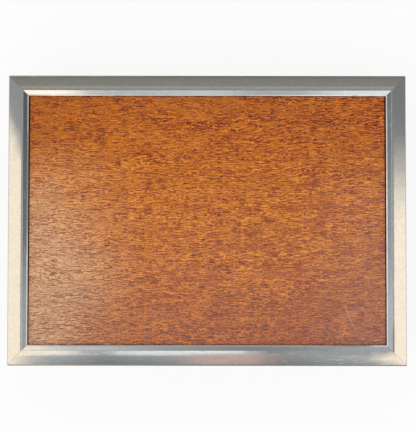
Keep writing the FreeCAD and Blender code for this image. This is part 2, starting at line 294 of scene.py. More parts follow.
def makeWorld():
    world = bpy.data.worlds.new("studio")
    bpy.context.scene.world = world
    world.use_nodes = True
    world.cycles.sampling_method = "NONE"
    tree = world.node_tree
    tree.nodes.clear()
    direction = add(tree, "ShaderNodeTexCoord").outputs["Generated"]
    parts = add(tree, "ShaderNodeSeparateXYZ", {0: direction}).outputs
    x, y, z = parts[0], parts[1], parts[2]
    wide, deep = calc(tree, "ABSOLUTE", x), calc(tree, "ABSOLUTE", y)
    # overhead
    front = step(tree, y, -0.055, -0.085)
    seen = mixColour(tree, front, levels(tree, y, room["overhead"]), levels(tree, x, room["front"], 0.3))
    strip = both(tree, step(tree, y, -0.38, -0.24), step(tree, y, -0.065, -0.09))
    seen = mixColour(tree, strip, seen, levels(tree, x, room["strip"], 0.3))
    dim = both(tree, step(tree, x, 0.1, 0.3), step(tree, y, 0.06, 0.12), step(tree, y, 0.2, 0.14), 0.32)
    seen = mixColour(tree, dim, seen, (0.0, 0.0, 0.0, 1.0))
    dimFront = both(tree, step(tree, x, 0.075, 0.09), step(tree, y, -0.065, -0.055), step(tree, y, -0.02, -0.03), 0.45)
    seen = mixColour(tree, dimFront, seen, (0.0, 0.0, 0.0, 1.0))
    fade = both(tree, front, step(tree, y, -0.3, -0.75, 0.0, 0.3))
    seen = mixColour(tree, fade, seen, (0.0, 0.0, 0.0, 1.0))
    tint = mixColour(tree, step(tree, y, 0.1, 0.25), room["coolTint"], room["backTint"])
    seen = mixColour(tree, 1.0, seen, tint, "MULTIPLY")
    offMiddle = calc(tree, "ABSOLUTE", calc(tree, "SUBTRACT", x, 0.014))
    blush = both(tree, step(tree, y, -0.16, -0.3), step(tree, y, -0.78, -0.55), step(tree, offMiddle, 0.034, 0.018), 0.75)
    seen = mixColour(tree, blush, seen, room["blush"])
    atBack = both(tree, step(tree, y, 0.09, 0.1), step(tree, y, 0.15, 0.135), step(tree, wide, 0.13, 0.12))
    atSide = both(tree, step(tree, wide, 0.1, 0.108), step(tree, wide, 0.15, 0.13), step(tree, y, -0.048, -0.038),
                  step(tree, y, 0.13, 0.12))
    lipLeft, lipRight = levels(tree, y, room["lipLeft"], 0.3), levels(tree, y, room["lipRight"], 0.3)
    sideLip = mixColour(tree, step(tree, x, -0.05, 0.05), lipLeft, lipRight)
    seen = mixColour(tree, atBack, seen, levels(tree, x, room["lipBack"], 0.3))
    seen = mixColour(tree, atSide, seen, sideLip)
    # warm walls left and right, as far back as a slanting edge
    leftLimit = levels(tree, y, room["leftLimit"])
    rightLimit = levels(tree, y, room["rightLimit"])
    left = step(tree, calc(tree, "ADD", x, leftLimit), 0.005, -0.005)
    right = step(tree, calc(tree, "SUBTRACT", x, rightLimit), -0.005, 0.005)
    leftEnd = step(tree, calc(tree, "MULTIPLY_ADD", wide, -0.045, y), 0.085, 0.06)
    rightEnd = step(tree, y, 0.1, 0.035)
    seen = mixColour(tree, both(tree, left, leftEnd), seen, room["leftWall"])
    seen = mixColour(tree, both(tree, right, rightEnd), seen, room["rightWall"])
    # lower down
    endwise = step(tree, calc(tree, "SUBTRACT", deep, wide), -0.08, 0.08)
    leftLow, rightLow = levels(tree, y, room["leftLow"], 0.3), levels(tree, y, room["rightLow"], 0.3)
    frontLow, backLow = levels(tree, x, room["frontLow"], 0.3), levels(tree, x, room["backLow"], 0.3)
    sideLow = mixColour(tree, step(tree, x, -0.1, 0.1), leftLow, rightLow)
    endLow = mixColour(tree, step(tree, y, -0.1, 0.1), frontLow, backLow)
    warmLimit = step(tree, y, -0.1, 0.1, -0.083, -0.1)
    warm = both(tree, endwise, step(tree, calc(tree, "SUBTRACT", x, warmLimit), 0.006, -0.006))
    low = mixColour(tree, endwise, sideLow, endLow)
    low = mixColour(tree, 1.0, low, mixColour(tree, warm, room["coolTint"], room["warmTint"]), "MULTIPLY")
    seen = mixColour(tree, step(tree, z, 0.625, 0.59), seen, low)
    edge = mixColour(tree, both(tree, endwise, step(tree, z, 0.06, 0.16)), (0.78, 0.75, 0.7, 1.0), (0.12, 0.12, 0.12, 1.0))
    seen = mixColour(tree, step(tree, calc(tree, "MULTIPLY_ADD", endwise, 0.09, z), 0.46, 0.42), seen, edge)
    # the camera sees white, the silver sees the room, and the rest is even light
    path = add(tree, "ShaderNodeLightPath").outputs
    even = add(tree, "ShaderNodeBackground", {"Color": (1, 1, 1, 1), "Strength": studio["fill"]})
    reflected = add(tree, "ShaderNodeBackground", {"Color": seen, "Strength": 1.0})
    white = add(tree, "ShaderNodeBackground", {"Color": (1, 1, 1, 1), "Strength": 1.0})
    glossy = add(tree, "ShaderNodeMixShader", {0: path["Is Glossy Ray"], 1: even.outputs[0], 2: reflected.outputs[0]})
    direct = calc(tree, "MAXIMUM", path["Is Camera Ray"], path["Is Transmission Ray"])
    final = add(tree, "ShaderNodeMixShader", {0: direct, 1: glossy.outputs[0], 2: white.outputs[0]})
    plug(tree, add(tree, "ShaderNodeOutputWorld").inputs["Surface"], final.outputs[0])


def makeLamp():
    data = bpy.data.lights.new("softbox", "AREA")
    data.shape = "SQUARE"
    data.size = studio["lampSize"]
    data.energy = studio["lampPower"]
    lamp = bpy.data.objects.new("softbox", data)
    bpy.context.scene.collection.objects.link(lamp)
    spot = Vector(studio["lampPlace"])
    lamp.matrix_world = Matrix.Translation(spot) @ spot.to_track_quat("Z", "Y").to_matrix().to_4x4()
    lamp.visible_glossy = False
    lamp.visible_camera = False


def makeFloor():
    half = studio["floorSize"] / 2
    mesh = bpy.data.meshes.new("floor")
    mesh.from_pydata([(-half, -half, 0), (half, -half, 0), (half, half, 0), (-half, half, 0)], [], [(0, 1, 2, 3)])
    floor = place("floor", mesh)
    material, tree = newMaterial("paleFloor")
    paper = cloud(tree, add(tree, "ShaderNodeTexCoord").outputs["Object"], 40.0, 4.0)
    paperColour = mixColour(tree, paper, studio["floorColour"], (0.99, 0.99, 0.99, 1.0))
    matt = add(tree, "ShaderNodeBsdfDiffuse", {"Color": paperColour})
    glow = add(tree, "ShaderNodeEmission", {"Color": (1, 1, 1, 1), "Strength": 1.0})
    path = add(tree, "ShaderNodeLightPath").outputs
    seen = calc(tree, "MAXIMUM", path["Is Camera Ray"], calc(tree, "MAXIMUM", path["Is Glossy Ray"], path["Is Transmission Ray"]))
    share = calc(tree, "MULTIPLY", seen, 1 - studio["floorShadow"])
    finishMaterial(tree, add(tree, "ShaderNodeMixShader", {0: share, 1: matt.outputs[0], 2: glow.outputs[0]}).outputs[0])
    mesh.materials.append(material)


makeCamera()
makeWorld()
makeLamp()
makeFloor()
bpy.context.scene.view_settings.view_transform = "Standard"
print("camera, light and floor")


# Lines of grain, short dark pores and soft mottle, from coordinates in millimetres that run
# along the grain (x), across it (y) and into the wood (z)
def makeWoodFigure():
    tree, given, out = newGroup("woodFigure", "ShaderNodeTree", [
        ("Grain", "NodeSocketVector", None),
        ("Line Length", "NodeSocketFloat", 4.0),
        ("Line Width", "NodeSocketFloat", 0.4),
        ("Pore Share", "NodeSocketFloat", 0.4),
        ("Mottle Size", "NodeSocketFloat", 12.0),
        ("Wander", "NodeSocketFloat", 1.0),
        ("Softness", "NodeSocketFloat", 0.12),
    ], [("Lines", "NodeSocketFloat"), ("Pores", "NodeSocketFloat"), ("Mottle", "NodeSocketFloat"), ("Height", "NodeSocketFloat")])
    grain = given["Grain"]
    # the grain wanders a little up and down along its length
    bend = cloud(tree, stretched(tree, grain, 0.035, 0.07, 0.05), 1.0, 1.0)
    bend = calc(tree, "MULTIPLY", calc(tree, "SUBTRACT", bend, 0.5), calc(tree, "MULTIPLY", given["Wander"], 6.0))
    ripple = cloud(tree, stretched(tree, grain, 0.22, 0.5, 0.1, (9, 0, 0)), 1.0, 1.0)
    bend = calc(tree, "ADD", bend, calc(tree, "MULTIPLY", calc(tree, "SUBTRACT", ripple, 0.5), given["Wander"]))
    bent = vectorCalc(tree, "ADD", grain, add(tree, "ShaderNodeCombineXYZ", {1: bend}).outputs[0])
    along = calc(tree, "DIVIDE", 1.0, given["Line Length"])
    across = calc(tree, "DIVIDE", 1.0, given["Line Width"])
    scale = add(tree, "ShaderNodeCombineXYZ", {0: along, 1: across, 2: calc(tree, "MULTIPLY", across, 0.5)}).outputs[0]
    fine = vectorCalc(tree, "MULTIPLY", bent, scale)
    lines = cloud(tree, fine, 1.0, 2.0, 0.55, 0.3)
    longer = cloud(tree, stretched(tree, fine, 0.3, 1.3, 1.0, (5, 3, 0)), 1.0, 1.0, 0.5)
    speck = cloud(tree, stretched(tree, fine, 3.0, 1.2, 1.0, (2, 8, 0)), 1.0, 1.0, 0.5)
    broad = cloud(tree, vectorCalc(tree, "MULTIPLY", bent, (0.03, 0.35, 0.3)), 1.0, 2.0)
    total = calc(tree, "ADD", calc(tree, "MULTIPLY", lines, 0.4), calc(tree, "MULTIPLY", longer, 0.24))
    total = calc(tree, "ADD", total, calc(tree, "MULTIPLY", speck, 0.3))
    total = calc(tree, "ADD", total, calc(tree, "MULTIPLY", broad, 0.06))
    soft = given["Softness"]
    lineValue = step(tree, total, calc(tree, "SUBTRACT", 0.5, soft), calc(tree, "ADD", 0.5, soft), smooth=False)
    # pores are short, dark and broken
    poreField = cloud(tree, stretched(tree, fine, 0.9, 1.5, 1.0, (1, 7, 0)), 1.0, 1.0, 0.5, 0.1)
    poreLimit = calc(tree, "SUBTRACT", 0.74, calc(tree, "MULTIPLY", given["Pore Share"], 0.25))
    pores = step(tree, poreField, poreLimit, calc(tree, "ADD", poreLimit, 0.08))
    size = calc(tree, "DIVIDE", 1.0, given["Mottle Size"])
    patches = cloud(tree, grain, size, 2.0, 0.55)
    figure = cloud(tree, stretched(tree, bent, 0.3, 0.05, 0.05), 1.0, 2.0)
    mottle = calc(tree, "ADD", calc(tree, "MULTIPLY", patches, 0.75), calc(tree, "MULTIPLY", figure, 0.25))
    mottle = step(tree, mottle, 0.34, 0.66, smooth=False)
    height = calc(tree, "SUBTRACT", calc(tree, "MULTIPLY", lineValue, 0.35), pores)
    for label, value in (("Lines", lineValue), ("Pores", pores), ("Mottle", mottle), ("Height", height)):
        plug(tree, out[label], value)
    return tree


woodFigure = makeWoodFigure()


def millimetres(tree, source="Object"):
    if source == "Object":
        place = add(tree, "ShaderNodeTexCoord").outputs["Object"]
    else:
        place = add(tree, "ShaderNodeAttribute", attribute_name=source).outputs["Vector"]
    return vectorCalc(tree, "MULTIPLY", place, (1000, 1000, 1000))


panelShape = {
    "fieldTop": 36.4, "tongueTop": 35.4, "bottom": 33.4,
    "endGap": 0.3, "sideGap": 0.04, "frameIn": 7.8, "tongueIn": 1.0, "corner": 0.5,
    "arris": 0.14, "uneven": 0.02, "columns": 150, "rows": 104,
}

panelWood = {
    "lineLength": 3.0, "lineWidth": 0.28, "poreShare": 0.62, "mottleSize": 7.0, "wander": 1.0, "softness": 0.028,
    "tones": [(0.0, shade(110, 34, 6)), (0.25, shade(156, 66, 14)), (0.5, shade(200, 98, 20)),
              (0.75, shade(232, 128, 28)), (1.0, shade(252, 164, 56))],
    "pore": shade(96, 34, 8), "poreDepth": 0.85,
    "red": shade(152, 58, 28), "gold": shade(218, 128, 16),
    # the pale colours and shares of the painted sheen and the painted glare on the polish
    "paintedSheen": shade(238, 198, 156), "paintedSheenShare": 0.48,
    "paintedGlare": shade(186, 184, 180), "paintedGlareShare": 0.12,
    "scratchFrom": (52.2, -31.2), "scratchWay": (0.3, -0.954), "scratchLength": 12.4,
    "roughness": 0.34,
}


def makePanelWood():
    material, tree = newMaterial("panelMahogany")
    grain = millimetres(tree)
    setting = panelWood
    figure = useGroup(tree, woodFigure, {
        "Grain": grain, "Line Length": setting["lineLength"], "Line Width": setting["lineWidth"],
        "Pore Share": setting["poreShare"], "Mottle Size": setting["mottleSize"], "Wander": setting["wander"],
        "Softness": setting["softness"]})
    spot = add(tree, "ShaderNodeSeparateXYZ", {0: grain}).outputs
    # the middle of the board is a little lighter than its edges
    middle = step(tree, calc(tree, "ABSOLUTE", calc(tree, "ADD", spot[1], 2.0)), 46.0, 10.0)
    lightness = calc(tree, "MULTIPLY_ADD", figure["Lines"], 0.74, 0.02)
    lightness = calc(tree, "MULTIPLY_ADD", calc(tree, "SUBTRACT", figure["Mottle"], 0.5), 0.11, lightness)
    lightness = calc(tree, "MULTIPLY_ADD", middle, 0.16, lightness)
    upperLeft = step(tree, calc(tree, "SUBTRACT", spot[0], spot[1]), -55.0, -110.0)
    lightness = calc(tree, "MULTIPLY_ADD", upperLeft, -0.14, lightness)
    colour = ramp(tree, lightness, setting["tones"])
    hue = cloud(tree, stretched(tree, grain, 0.16, 0.5, 0.1, (3, 5, 0)), 1.0, 3.0)
    drift = cloud(tree, stretched(tree, grain, 0.03, 0.045, 0.1, (7, 2, 0)), 1.0, 1.0)
    toRed = calc(tree, "MULTIPLY_ADD", spot[0], 0.0015, calc(tree, "MULTIPLY_ADD", spot[1], -0.002, hue))
    colour = mixColour(tree, calc(tree, "MULTIPLY", step(tree, toRed, 0.45, 0.8), 0.5), colour, setting["red"])
    colour = mixColour(tree, calc(tree, "MULTIPLY", step(tree, toRed, 0.5, 0.25), 0.4), colour, setting["gold"])
    colour = mixColour(tree, calc(tree, "MULTIPLY", figure["Pores"], setting["poreDepth"]), colour, setting["pore"])
    # painted reflections on the polish: a pale grey glare low down and towards the lower right, and a pale sheen along
    # the grain, strongest at the left and low down
    paintedGlare = step(tree, spot[1], 30.0, -56.0)
    paintedGlareRight = both(tree, step(tree, spot[0], 26.0, 66.0), step(tree, spot[1], 40.0, 0.0), 0.6)
    paintedGlare = calc(tree, "ADD", paintedGlare, paintedGlareRight)
    colour = mixColour(tree, calc(tree, "MULTIPLY", paintedGlare, setting["paintedGlareShare"]), colour, setting["paintedGlare"])
    # painted sheen: pale streaks that follow the grain lines, with the pores left dark in it
    paintedSheenAcross = step(tree, calc(tree, "MULTIPLY_ADD", drift, 24.0, spot[0]), -12.0, -54.0)
    paintedSheen = calc(tree, "MULTIPLY", paintedSheenAcross, step(tree, spot[1], 36.0, -8.0))
    paintedSheenStrength = calc(tree, "MULTIPLY_ADD", figure["Lines"], 1.3, 0.35)
    paintedSheenStrength = calc(tree, "MULTIPLY", paintedSheenStrength, calc(tree, "MULTIPLY", paintedSheen, setting["paintedSheenShare"]))
    colour = mixColour(tree, paintedSheenStrength, colour, setting["paintedSheen"])
    colour = mixColour(tree, calc(tree, "MULTIPLY", figure["Pores"], calc(tree, "MULTIPLY", paintedSheen, 0.5)), colour, setting["pore"])
    # thin dark furrows, more open towards the left end
    furrows = useGroup(tree, woodFigure, {
        "Grain": vectorCalc(tree, "ADD", grain, (0, 0, 40)), "Line Length": 4.5, "Line Width": 0.55,
        "Pore Share": 0.5, "Wander": 1.5})["Pores"]
    openGrain = step(tree, spot[0], -14.0, -52.0, 0.1, 0.42)
    colour = mixColour(tree, calc(tree, "MULTIPLY", furrows, openGrain), colour, setting["pore"])
    # one light scratch near the lower right corner, in the pale colour of the painted sheen
    start, way = setting["scratchFrom"], setting["scratchWay"]
    toPoint = vectorCalc(tree, "SUBTRACT", grain, (start[0], start[1], 0.0))
    run = vectorCalc(tree, "DOT_PRODUCT", toPoint, (way[0], way[1], 0.0))
    bow = calc(tree, "MULTIPLY", calc(tree, "MULTIPLY", run, run), 0.006)
    off = calc(tree, "SUBTRACT", vectorCalc(tree, "DOT_PRODUCT", toPoint, (-way[1], way[0], 0.0)), bow)
    scratch = both(tree, step(tree, calc(tree, "ABSOLUTE", off), 0.18, 0.05), step(tree, run, 0.0, 2.0),
                   step(tree, run, setting["scratchLength"], setting["scratchLength"] - 2.0), 0.45)
    colour = mixColour(tree, scratch, colour, setting["paintedSheen"])
    # painted shade deep in the open joint round the field, with some old polish and dust, darker at the ends where the
    # joint is wider
    joint = step(tree, spot[2], panelShape["fieldTop"] - 0.08, panelShape["fieldTop"] - 0.25)
    atEnds = step(tree, calc(tree, "ABSOLUTE", spot[0]), 66.0, 67.5, 0.45, 1.0)
    colour = mixColour(tree, calc(tree, "MULTIPLY", joint, atEnds), colour, shade(30, 17, 12))
    low, high = setting["roughness"] - 0.05, setting["roughness"] + 0.08
    roughness = step(tree, figure["Lines"], 0.0, 1.0, high, low, smooth=False)
    bump = add(tree, "ShaderNodeBump", {"Strength": 0.6, "Distance": 0.00003, "Height": figure["Height"]})
    surface = add(tree, "ShaderNodeBsdfPrincipled", {
        "Base Color": colour, "Roughness": roughness, "Normal": bump.outputs[0], "Specular IOR Level": 0.3,
        "Coat Weight": 0.3, "Coat Roughness": 0.24})
    finishMaterial(tree, surface.outputs[0])
    return material


def makePlainWood(name, tones, pore, lineLength, lineWidth, poreShare, roughness, coat):
    material, tree = newMaterial(name)
    grain = millimetres(tree, "grain")
    figure = useGroup(tree, woodFigure, {
        "Grain": grain, "Line Length": lineLength, "Line Width": lineWidth,
        "Pore Share": poreShare, "Mottle Size": 12.0, "Wander": 1.2, "Softness": 0.09})
    lightness = calc(tree, "ADD", calc(tree, "MULTIPLY", figure["Lines"], 0.75), calc(tree, "MULTIPLY", figure["Mottle"], 0.25))
    colour = ramp(tree, lightness, tones)
    colour = mixColour(tree, calc(tree, "MULTIPLY", figure["Pores"], 0.6), colour, pore)
    bump = add(tree, "ShaderNodeBump", {"Strength": 0.6, "Distance": 0.00004, "Height": figure["Height"]})
    varied = step(tree, figure["Lines"], 0.0, 1.0, roughness + 0.08, roughness - 0.05, smooth=False)
    surface = add(tree, "ShaderNodeBsdfPrincipled", {
        "Base Color": colour, "Roughness": varied, "Normal": bump.outputs[0], "Specular IOR Level": 0.3,
        "Coat Weight": coat, "Coat Roughness": 0.2})
    finishMaterial(tree, surface.outputs[0])
    return material


# Fine scratches that run along a length of metal, from coordinates in millimetres
def makeMetalWear():
    tree, given, out = newGroup("metalWear", "ShaderNodeTree", [
        ("Run", "NodeSocketVector", None),
        ("Spot", "NodeSocketVector", None),
        ("Scratch Length", "NodeSocketFloat", 14.0),
        ("Scratch Width", "NodeSocketFloat", 0.14),
    ], [("Scratches", "NodeSocketFloat"), ("Blotches", "NodeSocketFloat"), ("Pits", "NodeSocketFloat"),
        ("Height", "NodeSocketFloat")])
    along = calc(tree, "DIVIDE", 1.0, given["Scratch Length"])
    across = calc(tree, "DIVIDE", 1.0, given["Scratch Width"])
    scale = add(tree, "ShaderNodeCombineXYZ", {0: along, 1: across, 2: 1.0}).outputs[0]
    lines = cloud(tree, vectorCalc(tree, "MULTIPLY", given["Run"], scale), 1.0, 3.0, 0.6)
    # a few longer, stray scratches at a slant
    slanted = add(tree, "ShaderNodeMapping", {
        "Vector": given["Run"], "Rotation": (0, 0, 0.35), "Scale": (0.12, 3.2, 1.0)}).outputs[0]
    stray = step(tree, cloud(tree, slanted, 1.0, 1.0), 0.66, 0.72)
    blotches = cloud(tree, given["Spot"], 0.45, 4.0, 0.65, 0.4)
    pits = cloud(tree, given["Spot"], 1.4, 3.0, 0.7)
    dents = cloud(tree, given["Spot"], 0.12, 1.0)
    height = calc(tree, "ADD", calc(tree, "MULTIPLY", lines, 0.24), calc(tree, "MULTIPLY", dents, 1.6))
    height = calc(tree, "SUBTRACT", height, calc(tree, "MULTIPLY", stray, 0.3))
    plug(tree, out["Scratches"], calc(tree, "MAXIMUM", step(tree, lines, 0.55, 0.8), stray))
    plug(tree, out["Blotches"], step(tree, blotches, 0.35, 0.7, smooth=False))
    plug(tree, out["Pits"], step(tree, pits, 0.42, 0.66))
    plug(tree, out["Height"], height)
    return tree


metalWear = makeMetalWear()

silverFinish = {
    "bright": (0.93, 0.93, 0.92, 1.0),
    "dull": (0.66, 0.66, 0.64, 1.0),
    "darkTone": (0.16, 0.15, 0.13, 1.0),
    "roughness": (0.03, 0.09),
    "relief": 0.000008,
}


def makeSilver(name, mapped=True):
    material, tree = newMaterial(name)
    setting = silverFinish
    spot = millimetres(tree)
    run = spot
    if mapped:
        run = vectorCalc(tree, "MULTIPLY", add(tree, "ShaderNodeUVMap", uv_map="run").outputs[0], (1000, 1000, 1000))
    wear = useGroup(tree, metalWear, {"Run": run, "Spot": spot})
    patinaAndShade = add(tree, "ShaderNodeAttribute", attribute_name="patinaAndShade").outputs["Fac"]
    colour = mixColour(tree, calc(tree, "MULTIPLY", wear["Blotches"], 0.3), setting["bright"], setting["dull"])
    colour = mixColour(tree, calc(tree, "MULTIPLY", wear["Scratches"], 0.35), colour, setting["dull"])
    colour = mixColour(tree, calc(tree, "MULTIPLY", wear["Pits"], 0.32), colour, setting["dull"])
    # the mitres show as a fine dark line
    parts = add(tree, "ShaderNodeSeparateXYZ", {0: spot}).outputs
    offCorner = calc(tree, "SUBTRACT", calc(tree, "ABSOLUTE", parts[0]), calc(tree, "ABSOLUTE", parts[1]))
    offCorner = calc(tree, "ABSOLUTE", calc(tree, "SUBTRACT", offCorner, boxHalfWidth - boxHalfDepth))
    mitre = step(tree, offCorner, 0.14, 0.04)
    # patina in the hollows and, on the front and back lengths, a painted dark line along the outer top edge that stands
    # in for a dark reflection
    unevenness = cloud(tree, spot, 1.3, 3.0)
    patinaAndShadeShare = calc(tree, "MULTIPLY", patinaAndShade, step(tree, unevenness, 0.25, 0.6, 0.8, 1.0))
    dark = calc(tree, "MAXIMUM", patinaAndShadeShare, calc(tree, "MULTIPLY", mitre, 0.45), clamp=True)
    colour = mixColour(tree, dark, colour, setting["darkTone"])
    low, high = setting["roughness"]
    roughness = step(tree, calc(tree, "ADD", calc(tree, "MULTIPLY", wear["Blotches"], 0.6), calc(tree, "MULTIPLY", wear["Scratches"], 0.4)), 0.0, 1.0, low, high, smooth=False)
    roughness = calc(tree, "ADD", roughness, calc(tree, "MULTIPLY", dark, 0.3))
    bump = add(tree, "ShaderNodeBump", {"Strength": 1.0, "Distance": setting["relief"], "Height": wear["Height"]})
    surface = add(tree, "ShaderNodeBsdfPrincipled", {
        "Base Color": colour, "Metallic": 1.0, "Roughness": roughness, "Normal": bump.outputs[0]})
    finishMaterial(tree, surface.outputs[0])
    return material


brassFinish = {
    "bright": shade(226, 190, 118), "dull": shade(192, 148, 80), "darkTone": shade(96, 66, 34),
    "roughness": (0.3, 0.5), "relief": 0.000004,
}


def makeBrass():
    material, tree = newMaterial("drawnBrass")
    setting = brassFinish
    spot = millimetres(tree)
    wear = useGroup(tree, metalWear, {"Run": spot, "Spot": spot, "Scratch Length": 9.0, "Scratch Width": 0.2})
    colour = mixColour(tree, wear["Blotches"], setting["bright"], setting["dull"])
    spots = step(tree, cloud(tree, spot, 1.1, 4.0, 0.65), 0.54, 0.7)
    colour = mixColour(tree, calc(tree, "MULTIPLY", spots, 0.35), colour, setting["darkTone"])
    colour = mixColour(tree, calc(tree, "MULTIPLY", wear["Scratches"], 0.35), colour, setting["bright"])
    low, high = setting["roughness"]
    roughness = step(tree, calc(tree, "ADD", wear["Blotches"], spots), 0.0, 1.6, low, high, smooth=False)
    bump = add(tree, "ShaderNodeBump", {"Strength": 1.0, "Distance": setting["relief"], "Height": wear["Height"]})
    surface = add(tree, "ShaderNodeBsdfPrincipled", {
        "Base Color": colour, "Metallic": 1.0, "Roughness": roughness, "Normal": bump.outputs[0]})
    finishMaterial(tree, surface.outputs[0])
    return material


clothFinish = {
    "deep": shade(20, 52, 36), "light": shade(48, 92, 64), "worn": shade(84, 112, 78), "nap": 0.00012,
}


def makeBaize():
    material, tree = newMaterial("greenBaize")
    setting = clothFinish
    spot = millimetres(tree)
    fibre = cloud(tree, stretched(tree, spot, 3.2, 1.6, 2.0), 1.0, 4.0, 0.7, 1.2)
    tuft = cloud(tree, spot, 0.9, 3.0, 0.6)
    worn = step(tree, cloud(tree, spot, 0.06, 3.0, 0.6), 0.48, 0.75)
    colour = mixColour(tree, step(tree, fibre, 0.3, 0.7), setting["deep"], setting["light"])
    colour = mixColour(tree, calc(tree, "MULTIPLY", step(tree, tuft, 0.4, 0.75), 0.3), colour, setting["deep"])
    colour = mixColour(tree, calc(tree, "MULTIPLY", worn, 0.35), colour, setting["worn"])
    height = calc(tree, "MULTIPLY_ADD", tuft, 0.8, fibre)
    bump = add(tree, "ShaderNodeBump", {"Strength": 1.0, "Distance": setting["nap"], "Height": height})
    surface = add(tree, "ShaderNodeBsdfPrincipled", {
        "Base Color": colour, "Roughness": 0.95, "Normal": bump.outputs[0],
        "Sheen Weight": 0.35, "Sheen Roughness": 0.45, "Sheen Tint": (0.55, 0.75, 0.6, 1.0)})
    finishMaterial(tree, surface.outputs[0])
    return material


panelMahogany = makePanelWood()
mahogany = makePlainWood("caseMahogany", [
    (0.0, shade(112, 46, 20)), (0.5, shade(160, 78, 32)), (1.0, shade(202, 116, 50))],
    shade(88, 30, 10), 5.0, 0.26, 0.42, 0.36, 0.2)
cedar = makePlainWood("liningCedar", [
    (0.0, shade(150, 96, 60)), (0.5, shade(184, 128, 86)), (1.0, shade(210, 160, 116))],
    shade(128, 74, 46), 9.0, 0.5, 0.25, 0.5, 0.0)
oldSilver = makeSilver("oldSilver")
pinSilver = makeSilver("pinSilver", mapped=False)
brass = makeBrass()
baize = makeBaize()
print("finishes")


lidMoulding = {
    "skirt": 1.0, "width": 7.8, "skirtBottom": 32.2, "seat": 35.4,
    "outerTop": 37.7, "crestIn": 5.8, "crestTop": 38.9, "bandBulge": 0.24,
    "lipIn": 7.35, "lipTop": 37.9, "lipFall": 0.0, "fallSink": 0.0,
    "corner": 0.8, "stations": 150, "wave": 0.006,
}
footMoulding = {
    "skirt": 1.0, "width": 7.8, "bottom": 0.01, "height": 5.0, "ledge": 1.6, "flatIn": 5.4,
    "lipIn": 7.2, "lipRise": 1.0, "corner": 0.8, "stations": 110, "wave": 0.006,
}


def arcRun(start, end, rise, count=18):
    # points on an arc from start to end that stands rise to the left of its chord
    (x0, y0), (x1, y1) = start, end
    points = []
    for i in range(count + 1):
        share = i / count
        lift = 4 * rise * share * (1 - share) / math.dist(start, end)
        points.append((x0 + (x1 - x0) * share - (y1 - y0) * lift, y0 + (y1 - y0) * share + (x1 - x0) * lift))
    return points


def shortened(points, amount):
    # the polyline without this much of its start
    left = amount
    for i in range(len(points) - 1):
        span = math.dist(points[i], points[i + 1])
        if span > left:
            share = left / span
            first = tuple(a + (b - a) * share for a, b in zip(points[i], points[i + 1]))
            return [first] + points[i + 1:]
        left -= span
    return points[-2:]


def roundedLoop(runs, reaches, steps=6):
    # a closed outline of runs, with the start of each run rounded over the reach given
    cut = []
    for i, run in enumerate(runs):
        run = shortened(list(run), reaches[i])
        cut.append(shortened(run[::-1], reaches[(i + 1) % len(runs)])[::-1])
    points = []
    for i, run in enumerate(cut):
        before, corner, after = cut[i - 1][-1], runs[i][0], run[0]
        for k in range(1, steps):
            t = k / steps
            points.append(tuple((1 - t) ** 2 * a + 2 * t * (1 - t) * b + t * t * c
                                for a, b, c in zip(before, corner, after)))
        points.extend(run)
    return points


def sectionHost(name, points, patinaAndShadeAt):
    # the outline as a loop of edges that carries its own sizes for the nodes to read
    mesh = bpy.data.meshes.new(name)
    count = len(points)
    mesh.from_pydata([(u * mm, h * mm, 0) for u, h in points], [(i, (i + 1) % count) for i in range(count)], [])
    girth, total = [], 0.0
    for i, point in enumerate(points):
        girth.append(total)
        total += math.dist(point, points[(i + 1) % count])
    # the darkening carried to the silver: patina in the hollows, plus the painted dark edge line where one is asked for
    for label, values in (
        ("inset", [p[0] * mm for p in points]),
        ("height", [p[1] * mm for p in points]),
        ("girth", [g * mm for g in girth]),
        ("patinaAndShade", [max([0.0] + [depth * max(0.0, 1 - math.dist(p, at) / reach) for at, reach, depth in patinaAndShadeAt]) for p in points]),
    ):
        layer = mesh.attributes.new(label, "FLOAT", "POINT")
        layer.data.foreach_set("value", values)
    return mesh


